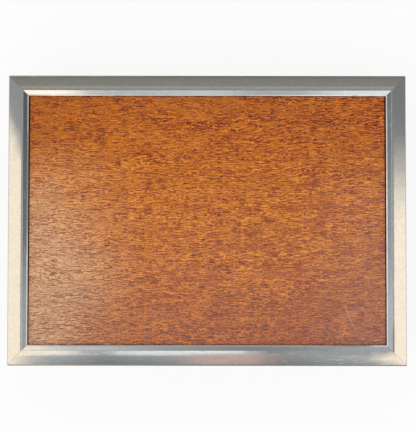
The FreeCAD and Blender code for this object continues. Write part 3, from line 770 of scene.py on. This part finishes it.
# One mitred length of a frame: the section is swept along X and its points are moved to the
# mitres, to the rounded upright corner and to the side of the box where it belongs
def makeMouldingLength():
    tree, given, out = newGroup("mouldingLength", "GeometryNodeTree", [
        ("Section", "NodeSocketGeometry", None),
        ("Half Length", "NodeSocketFloat", 0.076),
        ("Half Depth", "NodeSocketFloat", 0.0553),
        ("Corner", "NodeSocketFloat", 0.0008),
        ("Turn", "NodeSocketFloat", 0.0),
        ("Stations", "NodeSocketInt", 120),
        ("Crowding", "NodeSocketFloat", 3.0),
        ("Wave", "NodeSocketFloat", 0.00001),
        ("Seed", "NodeSocketFloat", 0.0),
        ("Material", "NodeSocketMaterial", None),
    ], [("Geometry", "NodeSocketGeometry")])

    def read(label):
        return add(tree, "GeometryNodeInputNamedAttribute", {"Name": label}, data_type="FLOAT").outputs["Attribute"]

    profile = add(tree, "GeometryNodeMeshToCurve", {"Mesh": given["Section"]})
    line = add(tree, "GeometryNodeCurvePrimitiveLine", {"Start": (0, 0, 0), "End": (1, 0, 0)})
    line = add(tree, "GeometryNodeResampleCurve", {"Curve": line.outputs[0], "Count": given["Stations"]})
    share = add(tree, "GeometryNodeSplineParameter").outputs["Factor"]
    line = add(tree, "GeometryNodeStoreNamedAttribute", {"Geometry": line.outputs[0], "Name": "station", "Value": share},
               data_type="FLOAT", domain="POINT")
    swept = add(tree, "GeometryNodeCurveToMesh", {
        "Curve": line.outputs[0], "Profile Curve": profile.outputs[0], "Fill Caps": True})
    inset, height, girth, station = read("inset"), read("height"), read("girth"), read("station")
    s = calc(tree, "MULTIPLY_ADD", station, 2.0, -1.0)
    sign = calc(tree, "SIGN", s)
    fromEnd = calc(tree, "SUBTRACT", 1.0, calc(tree, "ABSOLUTE", s))
    # stations stand closer together near the ends
    crowd = given["Crowding"]
    share = calc(tree, "DIVIDE",
                 calc(tree, "SUBTRACT", calc(tree, "EXPONENT", calc(tree, "MULTIPLY", crowd, fromEnd)), 1.0),
                 calc(tree, "SUBTRACT", calc(tree, "EXPONENT", crowd), 1.0))
    radius = given["Corner"]
    spare = calc(tree, "MULTIPLY", radius, 1 - math.sqrt(0.5))
    endX = calc(tree, "SUBTRACT", given["Half Length"], calc(tree, "MAXIMUM", inset, spare))
    distance = calc(tree, "MULTIPLY", endX, calc(tree, "SUBTRACT", 1.0, share))
    x = calc(tree, "MULTIPLY", sign, distance)
    past = calc(tree, "MAXIMUM", 0.0, calc(tree, "SUBTRACT", distance, calc(tree, "SUBTRACT", given["Half Length"], radius)))
    past = calc(tree, "MINIMUM", past, radius)
    arc = calc(tree, "SQRT", calc(tree, "SUBTRACT", calc(tree, "MULTIPLY", radius, radius), calc(tree, "MULTIPLY", past, past)))
    pushed = calc(tree, "MAXIMUM", inset, calc(tree, "SUBTRACT", radius, arc))
    y = calc(tree, "SUBTRACT", pushed, given["Half Depth"])
    flat = add(tree, "ShaderNodeCombineXYZ", {0: x, 1: y, 2: height}).outputs[0]
    turned = add(tree, "ShaderNodeVectorRotate", {"Vector": flat, "Angle": given["Turn"]}, rotation_type="Z_AXIS").outputs[0]
    # hand work leaves the silver a little uneven
    swell = add(tree, "ShaderNodeTexNoise", {"Vector": turned, "W": given["Seed"], "Scale": 45.0, "Detail": 1.0},
                noise_dimensions="4D").outputs[0]
    swell = calc(tree, "MULTIPLY", calc(tree, "SUBTRACT", swell, 0.5), given["Wave"])
    lifted = vectorCalc(tree, "ADD", turned, add(tree, "ShaderNodeCombineXYZ", {2: swell}).outputs[0])
    moved = add(tree, "GeometryNodeSetPosition", {"Geometry": swept.outputs[0], "Position": lifted})
    # where a point lies along its length and round its section
    run = add(tree, "ShaderNodeCombineXYZ", {0: x, 1: girth}).outputs[0]
    mapped = add(tree, "GeometryNodeStoreNamedAttribute", {"Geometry": moved.outputs[0], "Name": "run", "Value": run},
                 data_type="FLOAT2", domain="CORNER")
    real = add(tree, "GeometryNodeRealizeInstances", {0: mapped.outputs[0]})
    dressed = add(tree, "GeometryNodeSetMaterial", {"Geometry": real.outputs[0], "Material": given["Material"]})
    plug(tree, out["Geometry"], dressed.outputs[0])
    return tree


def lidSection(paintedDarkEdge):
    s = lidMoulding
    outer, crest = (0.0, s["outerTop"]), (s["crestIn"], s["crestTop"])
    lip, edge = (s["lipIn"], s["lipTop"]), (s["width"], s["lipTop"] - s["lipFall"])
    bottom, seat = s["skirtBottom"], s["seat"]
    runs = [
        [(s["skirt"], seat), (s["skirt"], bottom)],
        [(s["skirt"], bottom), (0.0, bottom)],
        [(0.0, bottom), outer],
        arcRun(outer, crest, s["bandBulge"], 26),
        arcRun(crest, lip, -s["fallSink"], 14),
        [(edge[0] + (lip[0] - edge[0]) * t, edge[1] + (lip[1] - edge[1]) * t) for t in (1.0, 0.85, 0.2, 0.0)],
        [edge, (s["width"], seat)],
        [(s["width"], seat), (s["skirt"], seat)],
    ]
    reaches = [0.02, 0.12, 0.25, 0.5, 0.06, 0.03, 0.04, 0.02]
    patinaAndShadeAt = [((s["skirt"] / 2, bottom), 0.9, 0.8), ((s["width"], s["lipTop"] - 0.6), 0.6, 1.2)]
    # painted shade: on the front and back lengths, a dark line along the outer top edge that stands in for a dark
    # reflection
    if paintedDarkEdge:
        patinaAndShadeAt.append(((0.0, s["outerTop"] - 0.1), 0.6, 1.5))
    return sectionHost("lidSection", roundedLoop(runs, reaches), patinaAndShadeAt)


def footSection(paintedDarkEdge):
    s = footMoulding
    lip = (s["lipIn"], s["lipRise"])
    runs = [
        [(s["width"], s["ledge"]), (s["width"], s["lipRise"])],
        [(s["width"], s["lipRise"]), lip],
        arcRun(lip, (s["flatIn"], s["bottom"]), -0.14, 10),
        [(s["flatIn"], s["bottom"]), (0.0, s["bottom"])],
        [(0.0, s["bottom"]), (0.0, s["height"])],
        [(0.0, s["height"]), (s["skirt"], s["height"])],
        [(s["skirt"], s["height"]), (s["skirt"], s["ledge"])],
        [(s["skirt"], s["ledge"]), (s["width"], s["ledge"])],
    ]
    reaches = [0.08, 0.15, 0.1, 0.2, 0.5, 0.7, 0.1, 0.02]
    patinaAndShadeAt = [((s["skirt"], s["height"]), 0.6, 0.9), ((0.0, 0.3), 0.5, 0.7)]
    return sectionHost("footSection", roundedLoop(runs, reaches), patinaAndShadeAt)


def makeMouldings():
    tree = makeMouldingLength()
    for part, setting, section, body in (
        ("lid", lidMoulding, lidSection, "lid"), ("foot", footMoulding, footSection, "case")):
        for number, side in enumerate(sides):
            sideways = side in ("left", "right")
            mesh = grown(f"{part}{side.capitalize()}Silver", section(not sideways), tree, {
                "Half Length": (boxHalfDepth if sideways else boxHalfWidth) * mm,
                "Half Depth": (boxHalfWidth if sideways else boxHalfDepth) * mm,
                "Corner": setting["corner"] * mm,
                "Turn": quarterTurn * number,
                "Stations": setting["stations"],
                "Crowding": 3.2,
                "Wave": setting["wave"] * mm * 2,
                "Seed": 1.0,
                "Material": oldSilver,
            })
            finishPiece(mesh.name, mesh, body, [f"{part}_{side}_moulding"], angle=28)


makeMouldings()
print("silver mouldings")


def makePanel():
    s = panelShape
    halfX = boxHalfWidth - s["frameIn"] - s["endGap"]
    halfY = boxHalfDepth - s["frameIn"] - s["sideGap"]
    nx, ny = s["columns"], s["rows"]
    work = bmesh.new()

    def edgeX(side, v):
        # the ends were planed by hand: the open joint is a little wider at the upper left
        drift = 0.07 * cloudAt(Vector((side * 3.1, v * 1.7, 2.0)))
        return side * (halfX + drift - 0.09 * v)

    def field(i, j, inset=0.0, drop=0.0):
        u, v = 2 * i / nx - 1, 2 * j / ny - 1
        x = edgeX(-1, v) + (edgeX(1, v) - edgeX(-1, v)) * (u + 1) / 2
        y = halfY * v
        x = max(edgeX(-1, v) + inset, min(edgeX(1, v) - inset, x))
        y = max(inset - halfY, min(halfY - inset, y))
        lift = s["uneven"] * cloudAt(Vector((x / 17, y / 13, 0.4)))
        return Vector((x, y, s["fieldTop"] - drop + lift)) * mm

    a = s["arris"]
    grid = [[work.verts.new(field(i, j, a)) for i in range(nx + 1)] for j in range(ny + 1)]
    for j in range(ny):
        for i in range(nx):
            work.faces.new((grid[j][i], grid[j][i + 1], grid[j + 1][i + 1], grid[j + 1][i]))
    rim = [(i, 0) for i in range(nx)] + [(nx, j) for j in range(ny)]
    rim += [(i, ny) for i in range(nx, 0, -1)] + [(0, j) for j in range(ny, 0, -1)]
    ring = [grid[j][i] for i, j in rim]

    def nextRing(points):
        nonlocal ring
        made = [work.verts.new(p) for p in points]
        for k in range(len(ring)):
            work.faces.new((ring[k], ring[k - 1], made[k - 1], made[k]))
        ring = made

    for turn in (0.35, 0.7, 1.0):
        angle = turn * quarterTurn
        nextRing([field(i, j, a * (1 - math.sin(angle)), a * (1 - math.cos(angle))) for i, j in rim])
    foot = [Vector((p.co.x, p.co.y, s["tongueTop"] * mm)) for p in ring]
    nextRing(foot)
    outX, outY, corner = boxHalfWidth - s["tongueIn"], boxHalfDepth - s["tongueIn"], s["corner"]

    def tongue(i, j, z):
        x, y = outX * (2 * i / nx - 1), outY * (2 * j / ny - 1)
        cx, cy = abs(x) - (outX - corner), abs(y) - (outY - corner)
        if cx > 0 and cy > 0 and math.hypot(cx, cy) > corner:
            far = math.hypot(cx, cy) / corner
            x = math.copysign(outX - corner + cx / far, x)
            y = math.copysign(outY - corner + cy / far, y)
        return Vector((x, y, z)) * mm

    nextRing([tongue(i, j, s["tongueTop"]) for i, j in rim])
    nextRing([tongue(i, j, s["bottom"]) for i, j in rim])
    work.faces.new(ring)
    bmesh.ops.triangulate(work, faces=[f for f in work.faces if len(f.verts) > 4])
    bmesh.ops.recalc_face_normals(work, faces=work.faces)
    mesh = bpy.data.meshes.new("lidPanelWood")
    work.to_mesh(mesh)
    work.free()
    outwards(mesh)
    finishPiece("lidPanelWood", mesh, "lid", ["lid_panel"], panelMahogany, 40)


makePanel()
print("lid panel")


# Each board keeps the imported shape. Its arrises are eased, and its grain runs along its length.
def boardFrom(node, name, body, material, ease, turned=False, seed=0):
    source = nodes[node].data
    work = bmesh.new()
    work.from_mesh(source)
    bmesh.ops.remove_doubles(work, verts=work.verts, dist=1e-6)
    bmesh.ops.dissolve_limit(work, angle_limit=math.radians(1.5), verts=work.verts, edges=work.edges)
    mesh = bpy.data.meshes.new(name)
    work.to_mesh(mesh)
    work.free()
    layer = mesh.attributes.new("grain", "FLOAT_VECTOR", "POINT")
    shift = random.Random(seed).uniform(-0.3, 0.3)
    values = []
    for vertex in mesh.vertices:
        x, y, z = vertex.co
        if turned:
            x, y = y, -x
        values += [x + shift, y + shift * 0.7, z + shift]
    layer.data.foreach_set("vector", values)
    piece = finishPiece(name, mesh, body, [node], material, 32)
    bevel = piece.modifiers.new("ease", "BEVEL")
    bevel.width = ease * mm
    bevel.segments = 3
    bevel.limit_method = "ANGLE"
    bevel.angle_limit = math.radians(40)
    return piece


def makeBoards():
    for number, side in enumerate(sides):
        sideways = side in ("left", "right")
        label = side.capitalize()
        boardFrom(f"case_{side}_wall", f"case{label}Wall", "case", mahogany, 0.15, sideways, number)
        boardFrom(f"lid_{side}_rail", f"lid{label}Rail", "lid", mahogany, 0.12, sideways, number + 10)
        boardFrom(f"case_{side}_lining", f"case{label}Lining", "case", cedar, 0.06, sideways, number + 20)
    boardFrom("base_board", "baseBoard", "case", mahogany, 0.1, False, 31)
    boardFrom("lid_lining", "lidLiningVeneer", "lid", cedar, 0.1, False, 32)
    boardFrom("well_divider", "wellDivider", "case", cedar, 0.15, True, 33)


makeBoards()
print("boards")

wellPad = {"width": 64.4, "length": 90.8, "thickness": 0.8, "bottom": 5.6, "middle": 33.9, "edge": 0.3, "uneven": 0.035}


def makePad(way, label):
    # cloth cut to fit its well, with soft cut edges
    s = wellPad
    columns, rows = 48, 68

    def ring(inset, height, wave):
        halfX, halfY = s["width"] / 2 - inset, s["length"] / 2 - inset
        loop = [(-1 + 2 * i / columns, -1) for i in range(columns)] + [(1, -1 + 2 * j / rows) for j in range(rows)]
        loop += [(1 - 2 * i / columns, 1) for i in range(columns)] + [(-1, 1 - 2 * j / rows) for j in range(rows)]
        points = []
        for u, v in loop:
            x, y = way * s["middle"] + u * halfX, v * halfY
            points.append((x, y, height + wave * cloudAt(Vector((x / 9, y / 9, way)))))
        return points

    top, edge = s["bottom"] + s["thickness"], s["edge"]
    work = bmesh.new()
    rings = [ring(0.05, s["bottom"], 0), ring(0.0, s["bottom"] + 0.06, 0)]
    for k in range(5):
        angle = quarterTurn * k / 4
        rings.append(ring(edge * (1 - math.cos(angle)), top - edge * (1 - math.sin(angle)) - s["uneven"], s["uneven"] * k / 4))
    loops = [[work.verts.new(Vector(p) * mm) for p in points] for points in rings]
    for low, high in zip(loops, loops[1:]):
        for i in range(len(low)):
            work.faces.new((low[i - 1], low[i], high[i], high[i - 1]))
    work.faces.new(loops[0][::-1])
    rim = loops[-1]
    halfX, halfY = s["width"] / 2 - edge, s["length"] / 2 - edge

    def inner(i, j):
        # the top: points on the rim are shared, the others are new
        if j == 0:
            return rim[i]
        if i == columns:
            return rim[columns + j]
        if j == rows:
            return rim[columns + rows + columns - i]
        if i == 0:
            return rim[2 * columns + rows + rows - j]
        return middle[i, j]

    middle = {}
    for j in range(1, rows):
        for i in range(1, columns):
            x, y = way * s["middle"] + halfX * (2 * i / columns - 1), halfY * (2 * j / rows - 1)
            z = top - s["uneven"] + s["uneven"] * cloudAt(Vector((x / 9, y / 9, way)))
            middle[i, j] = work.verts.new(Vector((x, y, z)) * mm)
    for j in range(rows):
        for i in range(columns):
            work.faces.new((inner(i, j), inner(i + 1, j), inner(i + 1, j + 1), inner(i, j + 1)))
    bmesh.ops.triangulate(work, faces=[f for f in work.faces if len(f.verts) > 4])
    mesh = bpy.data.meshes.new(label)
    work.to_mesh(mesh)
    work.free()
    outwards(mesh)
    piece = finishPiece(label, mesh, "case", [f"{'left' if way < 0 else 'right'}_well_pad"], baize, 60)


makePad(-1, "leftWellPad")
makePad(1, "rightWellPad")
print("pads")

hinge = {
    "axisY": 52.1, "axisZ": 26.4, "length": 126.0, "knuckles": 9, "radius": 1.35, "bore": 0.63,
    "play": 0.06, "leafReach": 4.4, "grooveRadius": 1.5, "leaf": 0.7, "pinRadius": 0.6,
    "screws": 5, "screwMargin": 9.0, "screwFromAxis": 2.95,
}
hingeScrew = {
    "head": 1.1, "shank": 0.6, "headDepth": 0.5, "length": 5.0, "tip": 1.0, "tipRadius": 0.15,
    "slotWidth": 0.35, "slotDepth": 0.22, "pitch": 0.55, "thread": 0.14, "spin": 0.14,
}
framePin = {"radius": 0.45, "length": 4.4, "proud": 0.045, "margin": 17.0, "longSide": 3, "shortSide": 2,
            "footHeight": 2.9, "lidHeight": 34.4}


def skinned(name, rings):
    # a closed surface through rings of points
    count, last = len(rings[0]), (len(rings) - 1) * len(rings[0])
    faces = [tuple(range(count))[::-1], tuple(range(last, last + count))]
    for start in range(0, last, count):
        for i in range(count):
            j = (i + 1) % count
            faces.append((start + i, start + j, start + count + j, start + count + i))
    mesh = bpy.data.meshes.new(name)
    mesh.from_pydata([tuple(c * mm for c in p) for ring in rings for p in ring], [], faces)
    return mesh


def turned(name, outline, count=28, alongX=False):
    # a turned shape through (radius, height) pairs
    turns = [2 * math.pi * i / count for i in range(count)]
    if alongX:
        return skinned(name, [[(h, r * math.cos(a), r * math.sin(a)) for a in turns] for r, h in outline])
    return skinned(name, [[(r * math.cos(a), r * math.sin(a), h) for a in turns] for r, h in outline])


def screwMesh():
    # a slotted countersunk wood screw, head up, with a tapering thread
    s = hingeScrew
    half, head, across = s["slotWidth"] / 2, s["head"], 12
    floorRadius = head - (head - s["shank"]) * s["slotDepth"] / s["headDepth"]

    def row(y, radius, depth):
        reach = math.sqrt(max(0.0, radius ** 2 - y ** 2))
        points = []
        for i in range(across + 1):
            x = reach * math.sin(quarterTurn * (2 * i / across - 1))
            crown = 0.05 * (1 - (x * x + y * y) / head ** 2) - 0.02 if depth == 0 else 0.0
            points.append((x, y, crown - depth))
        return points

    start, end = 0.12, math.acos(half / head)
    near = [-head * math.cos(start + (end - start) * k / 8) for k in range(9)]
    rows = [row(y, head, 0) for y in near]
    rows += [row(-half, floorRadius, s["slotDepth"]), row(half, floorRadius, s["slotDepth"])]
    rows += [row(-y, head, 0) for y in near[::-1]]
    rim = rows[0] + [r[-1] for r in rows[1:-1]] + rows[-1][::-1] + [r[0] for r in rows[-2:0:-1]]
    work = bmesh.new()
    known = {}

    def at(point):
        key = tuple(round(c, 5) for c in point)
        if key not in known:
            known[key] = work.verts.new(Vector(point) * mm)
        return known[key]

    def face(points):
        corners = []
        for corner in (at(p) for p in points):
            if corner not in corners:
                corners.append(corner)
        if len(corners) > 2:
            work.faces.new(corners)

    for low, high in zip(rows, rows[1:]):
        for i in range(across):
            face((low[i], low[i + 1], high[i + 1], high[i]))
    angles = [math.atan2(y, x) for x, y, z in rim]
    rings = [rim]
    steps = 46
    for k in range(steps + 1):
        z = s["headDepth"] + (s["length"] - s["headDepth"]) * k / steps
        taper = max(0.0, (z - (s["length"] - s["tip"])) / s["tip"])
        core = s["shank"] + (s["tipRadius"] - s["shank"]) * taper
        deep = s["thread"] * min(1.0, max(0.0, (z - 1.2) / 0.4)) * (1 - 0.7 * taper)
        rings.append([
            ((core - deep * (0.5 - 0.5 * math.cos(2 * math.pi * z / s["pitch"] - a))) * math.cos(a),
             (core - deep * (0.5 - 0.5 * math.cos(2 * math.pi * z / s["pitch"] - a))) * math.sin(a), -z) for a in angles])
    for low, high in zip(rings, rings[1:]):
        for i in range(len(low)):
            face((low[i - 1], low[i], high[i], high[i - 1]))
    face(rings[-1])
    bmesh.ops.recalc_face_normals(work, faces=work.faces)
    mesh = bpy.data.meshes.new("screw")
    work.to_mesh(mesh)
    work.free()
    return mesh


def knuckleMesh(up):
    # a knuckle rolled from the leaf round the pin, with the seam where the roll closes
    s = hinge
    radius, inner = s["radius"], s["radius"] - s["leaf"]
    closing = math.pi + math.asin(inner / radius)
    outline = [(-1.62, -radius + 0.015, -2.6), (-0.8, -radius + 0.004, -2.1)]
    count = 40
    for i in range(count + 1):
        a = -quarterTurn + (closing + quarterTurn - 0.03) * i / count
        outline.append((radius * math.cos(a), radius * math.sin(a), a))
    seam = closing + 0.0
    outline += [((radius - 0.14) * math.cos(seam), (radius - 0.14) * math.sin(seam), seam),
                (-radius - 0.02, -inner - 0.015, seam + 0.02), (-1.62, -inner - 0.015, seam + 0.04)]
    length = s["length"] / s["knuckles"] - 2 * s["play"]
    rounding = [(0.0, 0.07), (0.02, 0.03), (0.07, 0.0)]
    stations = [(x, cut) for x, cut in rounding] + [(length - x, cut) for x, cut in rounding[::-1]]
    work = bmesh.new()

    def loop(x, cut, bore):
        points = []
        for y, z, a in outline:
            if bore:
                y, z = (s["bore"] + cut) * math.cos(a), (s["bore"] + cut) * math.sin(a)
            else:
                y, z = y * (1 - cut / radius), z * (1 - cut / radius)
            points.append(work.verts.new(Vector((x, y, z * -up)) * mm))
        return points

    outside = [loop(x, cut, False) for x, cut in stations]
    inside = [loop(x, cut, True) for x, cut in stations]
    around = outside + inside[::-1]
    for first, second in zip(around, around[1:] + around[:1]):
        for i in range(len(first)):
            work.faces.new((first[i - 1], first[i], second[i], second[i - 1]))
    bmesh.ops.recalc_face_normals(work, faces=work.faces)
    mesh = bpy.data.meshes.new("knuckle")
    work.to_mesh(mesh)
    work.free()
    return mesh


def platePoints(spread, half):
    # the outline of a square round a hole, with its corners on points, by angle
    points = []
    for k in range(spread):
        a = 2 * math.pi * k / spread
        reach = half / max(abs(math.cos(a)), abs(math.sin(a)))
        points.append((reach * math.cos(a), reach * math.sin(a), a))
    return points


def leafPlate(up):
    # the flat of one leaf, with its countersunk holes, laid out from the hinge axis
    s, screw = hinge, hingeScrew
    free, outer = up * (s["radius"] - s["leaf"]), up * s["radius"]
    middle, half = -s["screwFromAxis"], (s["leafReach"] - s["grooveRadius"]) / 2
    square = platePoints(32, half)
    work = bmesh.new()
    known = {}

    def at(x, y, z):
        key = (round(x, 4), round(y, 4), round(z, 4))
        if key not in known:
            known[key] = work.verts.new(Vector((x, y, z)) * mm)
        return known[key]

    def face(*points):
        work.faces.new([at(*p) for p in points])

    levels = sorted({round(y, 6) for x, y, a in square if abs(x - half) < 1e-6})
    places = [(s["length"] - 2 * s["screwMargin"]) * (i / (s["screws"] - 1) - 0.5) for i in range(s["screws"])]
    for x0 in places:
        def ring(radius, z):
            return [(x0 + radius * math.cos(a), middle + radius * math.sin(a), z) for x, y, a in square]
        rings = [
            [(x0 + x, middle + y, free) for x, y, a in square], ring(screw["head"] + 0.09, free),
            ring(screw["head"] + 0.03, free + up * 0.03), ring(screw["shank"] + 0.03, free + up * screw["headDepth"]),
            ring(screw["shank"] + 0.03, outer), [(x0 + x, middle + y, outer) for x, y, a in square]]
        for low, high in zip(rings, rings[1:]):
            for i in range(32):
                face(low[i - 1], low[i], high[i], high[i - 1])
        for i in range(32):
            first, second = rings[0][i - 1], rings[0][i]
            if abs(first[1] - second[1]) < 1e-6 and abs(abs(first[1] - middle) - half) < 1e-6:
                face(first, second, rings[-1][i], rings[-1][i - 1])
    edges = [-s["length"] / 2] + [x + way * half for x in places for way in (-1, 1)] + [s["length"] / 2]
    for x0, x1 in zip(edges[::2], edges[1::2]):
        for a, b in zip(levels, levels[1:]):
            for z in (free, outer):
                face((x0, middle + a, z), (x1, middle + a, z), (x1, middle + b, z), (x0, middle + b, z))
        for a in (levels[0], levels[-1]):
            face((x0, middle + a, free), (x1, middle + a, free), (x1, middle + a, outer), (x0, middle + a, outer))
    for x in (edges[0], edges[-1]):
        face(*[(x, middle + a, free) for a in levels], *[(x, middle + a, outer) for a in levels[::-1]])
    bmesh.ops.recalc_face_normals(work, faces=work.faces)
    bmesh.ops.translate(work, verts=work.verts, vec=Vector((0, s["axisY"], s["axisZ"])) * mm)
    mesh = bpy.data.meshes.new("leafPlate")
    work.to_mesh(mesh)
    work.free()
    outwards(mesh)
    return mesh


# Copies of a small piece in a row along X
def makeRowOfPieces():
    tree, given, out = newGroup("rowOfPieces", "GeometryNodeTree", [
        ("Piece", "NodeSocketGeometry", None),
        ("Count", "NodeSocketInt", 5),
        ("First", "NodeSocketVector", None),
        ("Spacing", "NodeSocketFloat", 0.028),
        ("Turn Over", "NodeSocketFloat", 0.0),
        ("Spin", "NodeSocketFloat", 0.0),
        ("Seed", "NodeSocketInt", 3),
        ("Material", "NodeSocketMaterial", None),
    ], [("Geometry", "NodeSocketGeometry")])
    gap = add(tree, "ShaderNodeCombineXYZ", {0: given["Spacing"]}).outputs[0]
    line = add(tree, "GeometryNodeMeshLine", {"Count": given["Count"], "Start Location": given["First"], "Offset": gap},
               mode="OFFSET")
    spin = add(tree, "FunctionNodeRandomValue", {
        "Min": calc(tree, "MULTIPLY", given["Spin"], -1.0), "Max": given["Spin"], "Seed": given["Seed"]}, data_type="FLOAT")
    facing = add(tree, "ShaderNodeCombineXYZ", {0: given["Turn Over"], 2: spin.outputs["Value"]}).outputs[0]
    copies = add(tree, "GeometryNodeInstanceOnPoints", {
        "Points": line.outputs[0], "Instance": given["Piece"], "Rotation": facing})
    real = add(tree, "GeometryNodeRealizeInstances", {0: copies.outputs[0]})
    dressed = add(tree, "GeometryNodeSetMaterial", {"Geometry": real.outputs[0], "Material": given["Material"]})
    plug(tree, out["Geometry"], dressed.outputs[0])
    return tree


# Pins driven in from all four sides of a frame
def makePinsRound():
    tree, given, out = newGroup("pinsRound", "GeometryNodeTree", [
        ("Piece", "NodeSocketGeometry", None),
        ("Half Width", "NodeSocketFloat", 0.076),
        ("Half Depth", "NodeSocketFloat", 0.0553),
        ("Margin", "NodeSocketFloat", 0.017),
        ("Height", "NodeSocketFloat", 0.003),
        ("Long Side", "NodeSocketInt", 3),
        ("Short Side", "NodeSocketInt", 2),
        ("Material", "NodeSocketMaterial", None),
    ], [("Geometry", "NodeSocketGeometry")])
    joined = tree.nodes.new("GeometryNodeJoinGeometry")
    for number in range(4):
        along, away, count = (
            (given["Half Width"], given["Half Depth"], given["Long Side"]) if number % 2 == 0
            else (given["Half Depth"], given["Half Width"], given["Short Side"]))
        reach = calc(tree, "SUBTRACT", along, given["Margin"])
        y = calc(tree, "MULTIPLY", away, -1.0)
        first = add(tree, "ShaderNodeCombineXYZ", {0: calc(tree, "MULTIPLY", reach, -1.0), 1: y, 2: given["Height"]}).outputs[0]
        last = add(tree, "ShaderNodeCombineXYZ", {0: reach, 1: y, 2: given["Height"]}).outputs[0]
        line = add(tree, "GeometryNodeMeshLine", {"Count": count, "Start Location": first, "Offset": last}, mode="END_POINTS")
        pins = add(tree, "GeometryNodeInstanceOnPoints", {
            "Points": line.outputs[0], "Instance": given["Piece"], "Rotation": (quarterTurn, 0, 0)})
        turnedRow = add(tree, "GeometryNodeTransform", {"Geometry": pins.outputs[0], "Rotation": (0, 0, quarterTurn * number)})
        tree.links.new(turnedRow.outputs[0], joined.inputs[0])
    real = add(tree, "GeometryNodeRealizeInstances", {0: joined.outputs[0]})
    dressed = add(tree, "GeometryNodeSetMaterial", {"Geometry": real.outputs[0], "Material": given["Material"]})
    plug(tree, out["Geometry"], dressed.outputs[0])
    return tree


def joinedMesh(name, meshes):
    work = bmesh.new()
    for mesh in meshes:
        work.from_mesh(mesh)
    made = bpy.data.meshes.new(name)
    work.to_mesh(made)
    work.free()
    return made


def makeHinge():
    s, row = hinge, makeRowOfPieces()
    axis = (s["axisY"] * mm, s["axisZ"] * mm)
    pitch, start = s["length"] / s["knuckles"], -s["length"] / 2
    for up, part, body in ((-1, "case", "case"), (1, "lid", "lid")):
        odd = 0 if up < 0 else 1
        label = part.capitalize()
        knuckles = grown(f"hinge{label}Knuckles", knuckleMesh(up), row, {
            "Count": (s["knuckles"] + 1 - odd) // 2, "Spacing": 2 * pitch * mm, "Material": brass,
            "First": ((start + odd * pitch + s["play"]) * mm, axis[0], axis[1])})
        leaf = joinedMesh(f"hinge{label}Leaf", [leafPlate(up), knuckles])
        piece = finishPiece(leaf.name, leaf, body, [f"hinge_{part}_leaf"], brass, 35)
        bevel = piece.modifiers.new("ease", "BEVEL")
        bevel.width = 0.04 * mm
        bevel.segments = 2
        bevel.limit_method = "ANGLE"
        bevel.angle_limit = math.radians(50)
        head = s["axisZ"] + up * (s["radius"] - s["leaf"])
        screws = grown(f"hinge{label}Screws", screwMesh(), row, {
            "Count": s["screws"], "Spacing": (s["length"] - 2 * s["screwMargin"]) / (s["screws"] - 1) * mm,
            "First": ((start + s["screwMargin"]) * mm, (s["axisY"] - s["screwFromAxis"]) * mm, head * mm),
            "Turn Over": math.pi if up > 0 else 0.0, "Spin": hingeScrew["spin"], "Seed": 3 + odd, "Material": brass})
        finishPiece(screws.name, screws, body, [f"hinge_{part}_screws"], brass, 35)
    radius, half = s["pinRadius"], s["length"] / 2
    outline = [(0.3, -half + 0.01), (0.5, -half + 0.05), (radius, -half + 0.2)]
    outline += [(radius, half * x) for x in (-0.8, -0.4, 0.0, 0.4, 0.8)]
    outline += [(radius, half - 0.2), (0.5, half - 0.05), (0.3, half - 0.01)]
    rod = turned("hingePin", outline, alongX=True)
    rod.transform(Matrix.Translation((0, axis[0], axis[1])))
    outwards(rod)
    finishPiece("hingePinRod", rod, "case", ["hinge_pin"], brass, 40)


def makePins():
    s, tree = framePin, makePinsRound()
    outline = [(0.1, s["proud"]), (0.24, s["proud"] * 0.8), (0.36, s["proud"] * 0.35), (0.43, -0.01), (s["radius"], -0.05),
               (s["radius"], -s["length"] + 0.5), (0.28, -s["length"])]
    for part, body in (("foot", "case"), ("lid", "lid")):
        pins = grown(f"{part}SilverPins", turned("pin", outline), tree, {
            "Half Width": boxHalfWidth * mm, "Half Depth": boxHalfDepth * mm, "Margin": s["margin"] * mm,
            "Height": s[part + "Height"] * mm, "Long Side": s["longSide"], "Short Side": s["shortSide"],
            "Material": pinSilver})
        finishPiece(pins.name, pins, body, [f"{part}_pins"], pinSilver, 35)


makeHinge()
makePins()
print("hinge, screws and pins")
